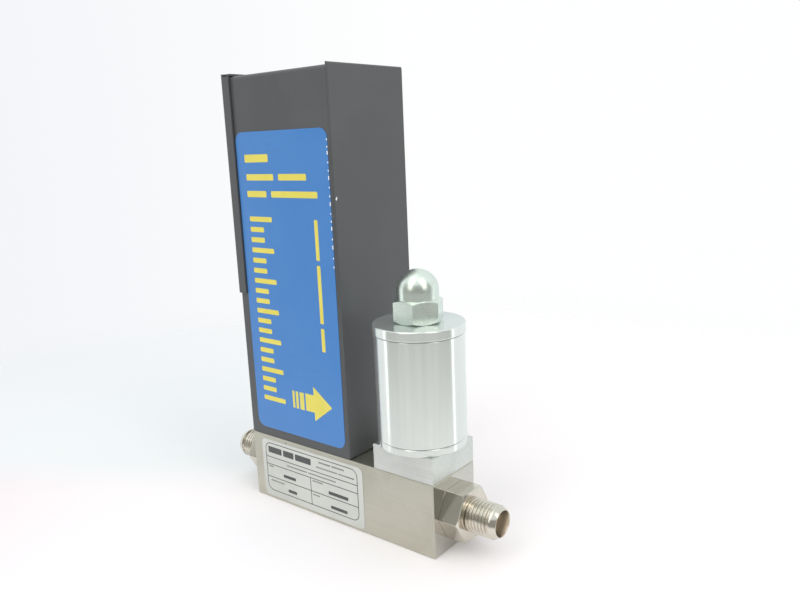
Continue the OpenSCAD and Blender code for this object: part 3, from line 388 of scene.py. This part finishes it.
def label_film(name, colour, other, rough, coat, wave):
    """Printed film: slight tone changes and faint rub lines under a gloss laminate, and shallow waves."""
    material, tree, shader = new_finish(name, IOR=1.5, Coat_Weight=coat, Coat_Roughness=0.06)
    patches = effect(tree, "smudges", Size=0.03, Seed=11.0)
    creases = effect(tree, "powder_coat", Size=0.012)
    lines = effect(tree, "tool_lines", Scale=(60.0, 60.0, 1900.0), Contrast=6.0)
    worn = maths(tree, "MULTIPLY", remap(tree, patches, 0.55, 0.95), remap(tree, lines, 0.75, 1.0, 0.0, 0.1))
    toned = mixed(tree, patches, colour, other)
    tree.links.new(mixed(tree, worn, toned, (0.02, 0.04, 0.12, 1.0)), shader.inputs["Base Color"])
    tree.links.new(remap(tree, patches, 0, 1, rough[0], rough[1]), shader.inputs["Roughness"])
    set_bump(tree, shader, creases, wave)
    return material


def ink(name, colour, other):
    material, tree, shader = new_finish(name, IOR=1.5, Coat_Weight=0.4, Coat_Roughness=0.08)
    patches = effect(tree, "smudges", Size=0.01, Seed=4.0)
    tree.links.new(mixed(tree, patches, colour, other), shader.inputs["Base Color"])
    tree.links.new(remap(tree, patches, 0, 1, 0.35, 0.45), shader.inputs["Roughness"])
    return material


ROUND = (900.0, 900.0, 9000.0)
ALONG_X = (60.0, 9000.0, 9000.0)
UPRIGHT = (5000.0, 5000.0, 40.0)

FINISH = {
    "body_steel": body_metal(),
    "block_steel": machined_metal(
        "block_steel", srgb(230, 233, 229), srgb(217, 220, 216), ALONG_X, (0.3, 0.42), seed=2.0, brushed=0.12),
    "fitting_steel": fitting_metal(),
    "sleeve_steel": turned_aluminium(),
    "nut_zinc": machined_metal(
        "nut_zinc", srgb(237, 248, 241), srgb(220, 229, 221), (2500.0, 2500.0, 2500.0), (0.26, 0.4), marks=0.008,
        seed=5.0, waves=5.0),
    "plain_steel": machined_metal(
        "plain_steel", srgb(208, 208, 204), srgb(190, 190, 186), ROUND, (0.22, 0.36), seed=6.0),
    "screw_steel": machined_metal(
        "screw_steel", srgb(190, 190, 186), srgb(168, 168, 164), ROUND, (0.25, 0.4), seed=7.0),
    "can_metal": machined_metal(
        "can_metal", srgb(216, 216, 213), srgb(204, 204, 200), UPRIGHT, (0.3, 0.42), seed=8.0),
    "tinned_shell": machined_metal(
        "tinned_shell", srgb(206, 202, 190), srgb(186, 182, 170), (2000.0, 2000.0, 2000.0), (0.28, 0.45), seed=9.0),
    "gold_pin": machined_metal(
        "gold_pin", srgb(232, 202, 120), srgb(214, 180, 96), ROUND, (0.15, 0.25), seed=10.0),
    "black_screw": plain_plastic("black_screw", srgb(52, 52, 54), srgb(62, 62, 64), (0.3, 0.4)),
    "case_paint": case_paint(),
    "copper_wire": wound_wire("copper_wire", (60.0, 60.0, 5000.0)),
    "seal_rubber": plain_plastic("seal_rubber", srgb(34, 34, 36), srgb(44, 44, 46), (0.6, 0.75)),
    "black_plastic": plain_plastic("black_plastic", srgb(38, 39, 43), srgb(48, 49, 53), (0.4, 0.55)),
    "bobbin_plastic": plain_plastic("bobbin_plastic", srgb(216, 208, 188), srgb(206, 198, 176), (0.4, 0.5)),
    "board_green": circuit_board(),
    "cable_grey": flat_cable(),
    "label_blue": label_film("label_blue", srgb(64, 128, 199), srgb(68, 132, 202), (0.3, 0.4), 0.3, 1.5e-4),
    "label_silver": label_film("label_silver", srgb(206, 209, 204), srgb(198, 201, 196), (0.3, 0.42), 0.2, 5e-5),
}
# Near-white ink for the painted glints on the label's edge, and for the small mark on the fold.
GLINT_AND_MARK_WHITE = ink("glint_and_mark_white", srgb(246, 248, 250), srgb(253, 254, 255))
YELLOW_INK = ink("yellow_ink", srgb(226, 214, 88), srgb(232, 220, 100))
BLACK_INK = ink("black_ink", srgb(58, 64, 62), srgb(70, 76, 74))
GREY_INK = ink("grey_ink", srgb(128, 134, 130), srgb(140, 146, 142))

for part in frame["record"]["subparts"]:
    shown = frame["nodes"][part["node"]]
    shown.data.materials.clear()
    shown.data.materials.append(FINISH[part["material_slot"]])


# ---- Modelling helpers ----

def deselect():
    if bpy.context.mode != "OBJECT":
        bpy.ops.object.mode_set(mode="OBJECT")
    bpy.ops.object.select_all(action="DESELECT")


def active(name):
    made = bpy.context.active_object
    made.name = name
    made.data.name = name
    return made


def edit():
    bpy.ops.object.mode_set(mode="EDIT")
    bpy.ops.mesh.select_mode(type="VERT")


def done():
    bpy.ops.object.mode_set(mode="OBJECT")


def pick(piece, kind, test):
    """In edit mode, selects the vertices, edges or faces that pass the test."""
    bpy.ops.mesh.select_mode(type=kind)
    bpy.ops.mesh.select_all(action="DESELECT")
    mesh = bmesh.from_edit_mesh(piece.data)
    for item in {"VERT": mesh.verts, "EDGE": mesh.edges, "FACE": mesh.faces}[kind]:
        if test(item):
            item.select_set(True)
    mesh.select_flush(True)
    bmesh.update_edit_mesh(piece.data)


def turned(name, rings, sides):
    """Solid turned about Z: a circle pulled up and resized ring by ring; rings are (radius, height) in mm."""
    deselect()
    radius, height = rings[0]
    bpy.ops.mesh.primitive_circle_add(
        vertices=sides, radius=radius * MM, fill_type="NGON", location=(0, 0, height * MM))
    piece = active(name)
    bpy.ops.object.transform_apply(location=True, rotation=True, scale=True)
    edit()
    bpy.ops.mesh.select_all(action="SELECT")
    for next_radius, next_height in rings[1:]:
        bpy.ops.mesh.extrude_region_move(
            TRANSFORM_OT_translate={"value": (0, 0, (next_height - height) * MM)})
        size = next_radius / radius
        bpy.ops.transform.resize(value=(size, size, 1), center_override=(0, 0, next_height * MM))
        radius, height = next_radius, next_height
    bpy.ops.mesh.select_all(action="SELECT")
    bpy.ops.mesh.normals_make_consistent(inside=False)
    done()
    return piece


def combine(piece, tool, operation):
    """Boolean of two closed meshes, applied; the tool is removed."""
    deselect()
    bpy.context.view_layer.objects.active = piece
    piece.select_set(True)
    change = piece.modifiers.new("join", "BOOLEAN")
    change.object = tool
    change.operation = operation
    change.solver = "EXACT"
    bpy.ops.object.modifier_apply(modifier="join")
    bpy.data.objects.remove(tool)


def thread_form(start, end, pitch, root_r, crest_r, steps):
    """Threaded bar between two heights, in mm: one tooth, pulled from a point, wound up by a screw."""
    deselect()
    crest = 0.42 * pitch
    root = 0.13 * pitch
    turns = math.ceil((end - start) / pitch) + 3
    low = start - 1.137 * pitch
    bpy.ops.mesh.primitive_plane_add(size=MM, location=(0, 0, 0))
    piece = active("thread_form")
    edit()
    bpy.ops.mesh.select_all(action="SELECT")
    bpy.ops.mesh.merge(type="CENTER")
    bpy.ops.transform.translate(value=(root_r * MM, 0, low * MM))
    slope = (pitch - crest - root) / 2
    rise = crest_r - root_r
    for across, up in ((0, root), (rise, slope), (0, crest), (-rise, slope)):
        bpy.ops.mesh.extrude_vertices_move(TRANSFORM_OT_translate={"value": (across * MM, 0, up * MM)})
    done()
    winding = piece.modifiers.new("winding", "SCREW")
    winding.axis = "Z"
    winding.angle = math.tau
    winding.screw_offset = pitch * MM
    winding.iterations = turns
    winding.steps = steps
    winding.render_steps = steps
    winding.use_merge_vertices = True
    winding.merge_threshold = 1e-6
    bpy.ops.object.modifier_apply(modifier="winding")
    edit()
    bpy.ops.mesh.select_all(action="SELECT")
    bpy.ops.mesh.remove_doubles(threshold=1e-6)
    bpy.ops.mesh.select_all(action="SELECT")
    bpy.ops.mesh.bisect(plane_co=(0, 0, start * MM), plane_no=(0, 0, 1), clear_inner=True)
    bpy.ops.mesh.select_all(action="SELECT")
    bpy.ops.mesh.bisect(plane_co=(0, 0, end * MM), plane_no=(0, 0, 1), clear_outer=True)
    bpy.ops.mesh.select_all(action="SELECT")
    bpy.ops.mesh.fill_holes(sides=0)
    bpy.ops.mesh.select_all(action="SELECT")
    bpy.ops.mesh.normals_make_consistent(inside=False)
    done()
    return piece


def settle(piece, material):
    """Finishes a piece: flat parts stay flat, round parts shade smooth; it rides on the controller."""
    deselect()
    bpy.context.view_layer.objects.active = piece
    piece.select_set(True)
    bpy.ops.object.transform_apply(location=True, rotation=True, scale=True)
    bpy.ops.object.shade_smooth_by_angle(angle=math.radians(28))
    edit()
    pick(piece, "FACE", lambda f: f.calc_area() > 6 * MM * MM)
    bpy.ops.mesh.faces_shade_flat()
    done()
    piece.data.materials.clear()
    piece.data.materials.append(material)
    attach(piece, BODY)
    deselect()


# ---- Tube fittings with their threads ----

HEX_AF = 19.9
HEX_L = 8.8
FITTING_L = 21.7
SHANK_R = 6.0
SHANK_L = 8.0
THREAD_R = 6.65
THREAD_PITCH = 1.5
THREAD_DEPTH = 0.62
GROOVE_R = 5.95
GROOVE_W = 0.6
NOSE_L = 2.8
RIM_R = 5.45
MOUTH_R = 5.15
SOCKET_R = 4.8
SOCKET_DEPTH = 8.0
MOUTH_DEPTH = 1.7
BORE_R = 3.4
SIDES = 96


def tube_fitting():
    """Fitting along +Z with the body's face at z = 0."""
    land_end = FITTING_L - NOSE_L - GROOVE_W
    nose = FITTING_L - NOSE_L
    corner = HEX_AF / math.sqrt(3)
    face = 0.51 * HEX_AF
    drop = 0.6 * (corner - face)
    deselect()
    bpy.ops.mesh.primitive_cylinder_add(
        vertices=6, radius=corner * MM, depth=HEX_L * MM, location=(0, 0, HEX_L / 2 * MM),
        rotation=(0, 0, math.radians(90)))
    hexagon = active("hexagon")
    bpy.ops.object.transform_apply(location=True, rotation=True, scale=True)
    edit()
    pick(hexagon, "EDGE", lambda e: abs(e.verts[0].co.z - e.verts[1].co.z) > MM)
    bpy.ops.mesh.bevel(offset=0.25 * MM, segments=2)
    done()
    corners = turned("corners", [
        (corner + 1, -1), (corner + 1, HEX_L - drop - 0.6), (face, HEX_L), (face - 1, HEX_L + 0.6)], SIDES)
    combine(hexagon, corners, "INTERSECT")
    threaded = thread_form(HEX_L - 0.6, land_end + 0.3, THREAD_PITCH, THREAD_R - THREAD_DEPTH, THREAD_R, 64)
    ends = turned("ends", [
        (THREAD_R + 0.1, HEX_L - 0.3), (THREAD_R + 0.1, land_end - 0.75), (GROOVE_R - 0.05, land_end + 0.02)], SIDES)
    combine(threaded, ends, "INTERSECT")
    stem = turned("stem", [
        (SHANK_R - 0.5, -SHANK_L), (SHANK_R, -SHANK_L + 0.5), (SHANK_R, HEX_L - 0.5),
        (THREAD_R - THREAD_DEPTH - 0.3, HEX_L - 0.4), (THREAD_R - THREAD_DEPTH - 0.3, land_end - 0.05),
        (GROOVE_R, land_end - 0.05), (GROOVE_R, nose), (THREAD_R - 0.12, nose), (THREAD_R, nose + 0.12),
        (THREAD_R, nose + 0.33), (RIM_R + 0.08, FITTING_L - 0.1), (RIM_R - 0.02, FITTING_L)], SIDES)
    combine(hexagon, stem, "UNION")
    combine(hexagon, threaded, "UNION")
    bore = turned("bore", [
        (BORE_R, -SHANK_L - 1), (BORE_R, FITTING_L - SOCKET_DEPTH), (SOCKET_R, FITTING_L - SOCKET_DEPTH),
        (SOCKET_R, FITTING_L - MOUTH_DEPTH), (MOUTH_R, FITTING_L), (MOUTH_R, FITTING_L + 1)], SIDES)
    combine(hexagon, bore, "DIFFERENCE")
    hexagon.name = "outlet_tube_fitting"
    hexagon.data.name = "outlet_tube_fitting"
    hexagon.data.transform(
        Matrix.Translation((BODY_END * MM, 0, FLOW_Z * MM)) @ Matrix.Rotation(math.radians(90), 4, "Y")
        @ Matrix.Rotation(math.radians(90), 4, "Z"))
    return hexagon


outlet_fitting = tube_fitting()
inlet_fitting = outlet_fitting.copy()
inlet_fitting.data = outlet_fitting.data.copy()
inlet_fitting.name = "inlet_tube_fitting"
inlet_fitting.data.name = "inlet_tube_fitting"
bpy.context.scene.collection.objects.link(inlet_fitting)
inlet_fitting.data.transform(Matrix.Rotation(math.pi, 4, "Z"))
settle(outlet_fitting, FINISH["fitting_steel"])
settle(inlet_fitting, FINISH["fitting_steel"])
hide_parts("outlet_fitting")
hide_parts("inlet_fitting")


# ---- Print on the labels ----

INK_T = 0.03
FRONT_FACE = -13.75
RATING_FACE = -14.15


def ink_patch(x0, z0, x1, z1, face, corner=0.0, segments=3):
    """Flat patch of ink on a label: a plane set upright with its corners rounded, left selected in edit mode so its
    face can be raised.
    """
    deselect()
    bpy.ops.mesh.primitive_plane_add(
        size=1, location=((x0 + x1) / 2 * MM, (face + 0.005) * MM, (z0 + z1) / 2 * MM),
        rotation=(math.radians(90), 0, 0))
    patch = active("ink_patch")
    patch.scale = ((x1 - x0) * MM, (z1 - z0) * MM, 1)
    bpy.ops.object.transform_apply(location=True, rotation=True, scale=True)
    edit()
    bpy.ops.mesh.select_all(action="SELECT")
    if corner:
        bpy.ops.mesh.bevel(offset=corner * MM, segments=segments, affect="VERTICES")
        bpy.ops.mesh.select_all(action="SELECT")
    return patch


def raise_ink():
    bpy.ops.mesh.extrude_region_move(TRANSFORM_OT_translate={"value": (0, -(INK_T + 0.005) * MM, 0)})
    bpy.ops.mesh.select_all(action="SELECT")
    bpy.ops.mesh.normals_make_consistent(inside=False)
    done()


def ink_bar(x0, z0, x1, z1, face, corner=0.0):
    patch = ink_patch(x0, z0, x1, z1, face, corner)
    raise_ink()
    return patch


def joined(pieces, name):
    deselect()
    for piece in pieces:
        piece.select_set(True)
    bpy.context.view_layer.objects.active = pieces[0]
    if len(pieces) > 1:
        bpy.ops.object.join()
    return active(name)


def flow_arrow():
    """Arrow along the flow: three bars, then a shaft pulled out into a head and drawn to its tip."""
    bars = [ink_bar(x0, 47.15, x1, 54.85, FRONT_FACE) for x0, x1 in ((-22.95, -21.7), (-20.85, -19.45), (-18.5, -16.0))]
    shaft = ink_patch(-15.0, 47.3, -10.05, 54.95, FRONT_FACE)
    pick(shaft, "EDGE", lambda e: all(v.co.x > -10.2 * MM for v in e.verts))
    bpy.ops.mesh.extrude_region_move(TRANSFORM_OT_translate={"value": (0.01 * MM, 0, 0)})
    bpy.ops.transform.resize(value=(1, 1, 15.2 / 7.65), center_override=(-10.04 * MM, 0, 51.13 * MM))
    bpy.ops.mesh.extrude_region_move(TRANSFORM_OT_translate={"value": (10.2 * MM, 0, 0.1 * MM)})
    bpy.ops.transform.resize(value=(1, 1, 0.02), center_override=(0.16 * MM, 0, 51.2 * MM))
    bpy.ops.mesh.select_all(action="SELECT")
    raise_ink()
    return joined(bars + [shaft], "flow_arrow")


def front_print():
    """Plain rows of bars and an upright scale of long and short marks."""
    rows = [
        (-41.7, 151.3, -27.4, 154.5), (-41.4, 143.9, -24.9, 146.5), (-22.0, 143.9, -6.0, 146.5),
        (-41.7, 137.0, -29.8, 139.6), (-26.9, 137.0, -0.4, 139.6),
    ]
    column = [(-3.2, 74.8, -1.3, 84.6), (-3.2, 86.6, -1.3, 110.4), (-3.2, 112.4, -1.3, 128.6)]
    bars = [ink_bar(*spot, FRONT_FACE, 0.45) for spot in rows + column]
    for mark in range(19):
        low = 47.6 + 4.4 * mark
        far = -27.7 if mark % 3 == 0 else -33.0
        bars.append(ink_bar(-41.4, low, far, low + 2.1, FRONT_FACE, 0.5))
    return joined(bars, "front_label_print")


def rating_frame():
    """Ruled frame with round corners, its rows and its divider."""
    line = 0.34
    frame_line = ink_patch(-43.1, 4.05, 12.55, 27.2, RATING_FACE, 3.4, 8)
    bpy.ops.mesh.inset(thickness=line * MM, depth=0)
    bpy.ops.mesh.delete(type="FACE")
    bpy.ops.mesh.select_all(action="SELECT")
    raise_ink()
    rules = [ink_bar(-42.9, z - line / 2, 12.35, z + line / 2, RATING_FACE) for z in (20.35, 16.75, 10.65)]
    rules.append(ink_bar(-15.1 - line / 2, 4.2, -15.1 + line / 2, 16.75, RATING_FACE))
    return joined([frame_line] + rules, "rating_label_frame")


def rating_rows():
    """Dark bars in the header and the four fields."""
    dark = [
        (-41.2, 22.5, -32.6, 25.4), (-31.6, 22.5, -25.0, 25.4), (-24.0, 22.5, -14.3, 25.4),
        (-32.3, 12.3, -24.5, 13.7), (-29.8, 5.8, -24.4, 7.2), (-4.5, 11.9, 6.8, 13.4), (-3.6, 5.6, 5.9, 7.0),
    ]
    return joined([ink_bar(*spot, RATING_FACE, 0.3) for spot in dark], "rating_label_rows")


def rating_captions():
    """Thin grey bars for the small print."""
    thin = [
        (-9.5, 24.8, -2.6, 25.5), (-1.8, 24.8, 5.2, 25.5), (-11.2, 22.4, 1.2, 23.0), (1.9, 22.4, 10.7, 23.0),
        (-29.5, 18.3, -17.0, 18.9), (-16.2, 18.3, 0.1, 18.9), (-41.6, 15.5, -38.7, 16.1), (-40.9, 8.7, -32.3, 9.3),
        (-13.9, 15.4, -7.8, 16.0), (-14.3, 8.9, -10.0, 9.5),
    ]
    return joined([ink_bar(*spot, RATING_FACE) for spot in thin], "rating_label_captions")


def painted_edge_glints():
    """Short slivers of flat near-white ink along the label's edge beside the fold: painted glints."""
    low_high = [
        (158.9, 159.6), (156.2, 156.8), (153.6, 155.0), (150.4, 151.0), (147.3, 147.9), (144.1, 145.6), (141.0, 141.5),
        (137.6, 138.3), (134.2, 135.7), (131.0, 131.5), (127.9, 128.6), (124.8, 126.2), (121.0, 121.7), (117.4, 119.0),
        (113.6, 114.2), (110.0, 110.8),
    ]
    slivers = [ink_bar(5.98, low, 6.44, high, FRONT_FACE) for low, high in low_high]
    return joined(slivers, "label_painted_edge_glints")


def small_white_mark(name, place):
    """Small flattened near-white mark on the fold's edge."""
    deselect()
    bpy.ops.mesh.primitive_ico_sphere_add(subdivisions=2, radius=0.55 * MM, location=place)
    chip = active(name)
    chip.scale = (0.16, 0.7, 1.0)
    bpy.ops.object.transform_apply(location=True, rotation=True, scale=True)
    edit()
    pick(chip, "VERT", lambda v: v.co.z > place[2] + 0.2 * MM)
    bpy.ops.transform.translate(value=(0, 0.25 * MM, 0.3 * MM))
    done()
    return chip


settle(flow_arrow(), YELLOW_INK)
settle(front_print(), YELLOW_INK)
# Painted glints: near-white slivers of flat ink along the label's edge beside the fold.
settle(painted_edge_glints(), GLINT_AND_MARK_WHITE)
# A small near-white mark on the fold, in the same white as the painted glints.
settle(small_white_mark("fold_white_mark", (8.69 * MM, -12.85 * MM, 136.8 * MM)), GLINT_AND_MARK_WHITE)
settle(rating_frame(), BLACK_INK)
settle(rating_rows(), BLACK_INK)
settle(rating_captions(), GREY_INK)


# ---- Floor, light and camera ----

def studio_floor():
    """Pale floor that fades out far off for the camera, and nearer for reflections, which show the tent there; painted
    shade darkens it far in front and behind to the left.
    """
    deselect()
    bpy.ops.mesh.primitive_plane_add(size=8, location=(0, 0, 0))
    floor = active("studio_floor")
    material, tree, shader = new_finish("floor_paper", Specular_IOR_Level=0.2)
    tone = effect(tree, "smudges", Size=0.6, Seed=1.0)
    paper = mixed(tree, tone, srgb(250, 248, 250), srgb(253, 251, 253))
    place = add_node(tree, "TexCoord").outputs["Object"]
    ahead = toward(tree, place, AHEAD)
    # Painted shade: the floor turns grey far in front, standing in for light falling off there.
    painted_falloff_shade = remap(tree, ahead, 0.1, 0.3, smooth=True)
    behind = toward(tree, place, (-0.5, 0.866, 0.0))
    left = toward(tree, place, (-0.777, -0.629, 0.0))
    rosy = mixed(tree, remap(tree, left, 0.05, 0.24, smooth=True), paper, srgb(234, 226, 230))
    # Painted shadow: darker, cooler floor behind and to the left, laid under the real shadow of the right lamp so that
    # it shows more.
    painted_shadow_mask = maths(
        tree, "MULTIPLY", remap(tree, behind, 0.0, 0.05, smooth=True), remap(tree, left, -0.02, 0.05, smooth=True))
    painted_shadow_tone = mixed(tree, painted_shadow_mask, rosy, srgb(231, 236, 239))
    tree.links.new(mixed(tree, painted_falloff_shade, painted_shadow_tone, srgb(215, 214, 211)), shader.inputs["Base Color"])
    shader.inputs["Roughness"].default_value = 0.7
    reach = add_node(tree, "VectorMath", {0: place}, operation="LENGTH").outputs["Value"]
    paths = add_node(tree, "LightPath")
    far_seen = maths(tree, "MULTIPLY", remap(tree, reach, 0.16, 0.5, smooth=True), paths.outputs["Is Camera Ray"])
    far_mirrored = maths(
        tree, "MULTIPLY", remap(tree, reach, 0.07, 0.14, smooth=True), paths.outputs["Is Glossy Ray"])
    shader.inputs["Emission Strength"].default_value = 0.05
    tree.links.new(mixed(tree, paths.outputs["Is Camera Ray"], (0, 0, 0, 1), (1, 0.985, 0.995, 1)),
                   shader.inputs["Emission Color"])
    clear = add_node(tree, "BsdfTransparent")
    blend = add_node(
        tree, "MixShader", {0: maths(tree, "ADD", far_seen, far_mirrored), 1: shader.outputs[0], 2: clear.outputs[0]})
    tree.links.new(blend.outputs[0], tree.nodes["Material Output"].inputs[0])
    floor.data.materials.append(material)


def lamp(name, size, place, aim, power, colour):
    data = bpy.data.lights.new(name, "AREA")
    data.shape = "RECTANGLE"
    data.size, data.size_y = size
    data.energy = power
    data.color = colour
    made = bpy.data.objects.new(name, data)
    bpy.context.scene.collection.objects.link(made)
    made.location = place
    beam = Vector(aim) - Vector(place)
    made.rotation_euler = beam.to_track_quat("-Z", "Y").to_euler()
    made.visible_camera = False


def studio_world():
    """Pale backdrop for the camera, even grey for soft light, and a tent that only reflections show.

    The tent is grey in front, brighter below, and has bright seams at both sides. It isn't the backdrop.
    """
    world = bpy.data.worlds.new("studio")
    bpy.context.scene.world = world
    world.use_nodes = True
    tree = world.node_tree
    tree.nodes.clear()
    ray = add_node(tree, "TexCoord").outputs["Generated"]
    axes = add_node(tree, "SeparateXYZ", {0: ray})
    level = add_node(tree, "CombineXYZ", {0: axes.outputs[0], 1: axes.outputs[1]})
    flat = add_node(tree, "VectorMath", {0: level.outputs[0]}, operation="NORMALIZE").outputs[0]
    ahead = toward(tree, flat, AHEAD)
    height = axes.outputs[2]
    side = toward(tree, flat, (0.791, 0.611, 0.0))
    past = maths(tree, "ADD", maths(tree, "MULTIPLY", side, -0.043), ahead)
    front = remap(tree, past, 0.03, 0.12, smooth=True)
    low = remap(tree, height, 0.62, 0.48, smooth=True)
    deep = remap(tree, height, -0.27, -0.42, smooth=True)
    front_tone = mixed(tree, deep, (0.33, 0.34, 0.32, 1), (1.13, 1.13, 1.12, 1))
    tent = mixed(tree, maths(tree, "MULTIPLY", front, low), (0.88, 0.92, 0.92, 1), front_tone)
    seam = remap(tree, maths(tree, "ABSOLUTE", maths(tree, "ADD", past, 0.033)), 0.02, 0.055, 1.0, 0.0, smooth=True)
    lit = mixed(tree, maths(tree, "MULTIPLY", seam, low), tent, (2.1, 2.15, 2.15, 1))
    paths = add_node(tree, "LightPath")
    soft = mixed(tree, paths.outputs["Is Diffuse Ray"], lit, (0.9, 0.9, 0.9, 1))
    across = toward(tree, ray, (0.777, 0.63, 0.0))
    tint = remap(tree, across, -0.45, 0.0)
    backdrop = mixed(tree, tint, (0.905, 0.915, 0.945, 1.0), (0.99, 0.995, 0.995, 1.0))
    colour = mixed(tree, paths.outputs["Is Camera Ray"], soft, backdrop)
    shade = add_node(tree, "Background", {"Color": colour, "Strength": 1.0})
    out = tree.nodes.new("ShaderNodeOutputWorld")
    tree.links.new(shade.outputs[0], out.inputs[0])


def camera():
    """Camera at the usual viewing angle: yaw from +Y towards -X, pitch and roll in degrees."""
    data = bpy.data.cameras.new("camera")
    made = bpy.data.objects.new("camera", data)
    bpy.context.scene.collection.objects.link(made)
    data.sensor_width = 36.0
    data.lens = 33.576
    data.clip_start = 0.01
    yaw, pitch, roll = math.radians(39.044), math.radians(-12.021), math.radians(-2.388)
    place = Matrix.Translation((0.206554, -0.220871, 0.157490))
    turn = (
        Matrix.Rotation(yaw, 4, "Z") @ Matrix.Rotation(math.radians(90) + pitch, 4, "X")
        @ Matrix.Rotation(roll, 4, "Z"))
    made.matrix_world = place @ turn
    bpy.context.scene.camera = made


studio_floor()
studio_world()
camera()
lamp("right_softbox", (0.26, 0.9), (0.637, -0.121, 0.60), (0.036, 0, 0.09), 1.2, (1.0, 0.965, 0.89))
lamp("left_softbox", (0.26, 0.9), (-0.02, -0.61, 0.60), (0.036, 0, 0.09), 1.15, (1.0, 0.965, 0.89))
lamp("top_softbox", (0.5, 0.4), (-0.12, -0.08, 0.72), (0.03, 0, 0.05), 0.32, (1.0, 0.97, 0.91))
bpy.context.scene.view_settings.view_transform = "Standard"
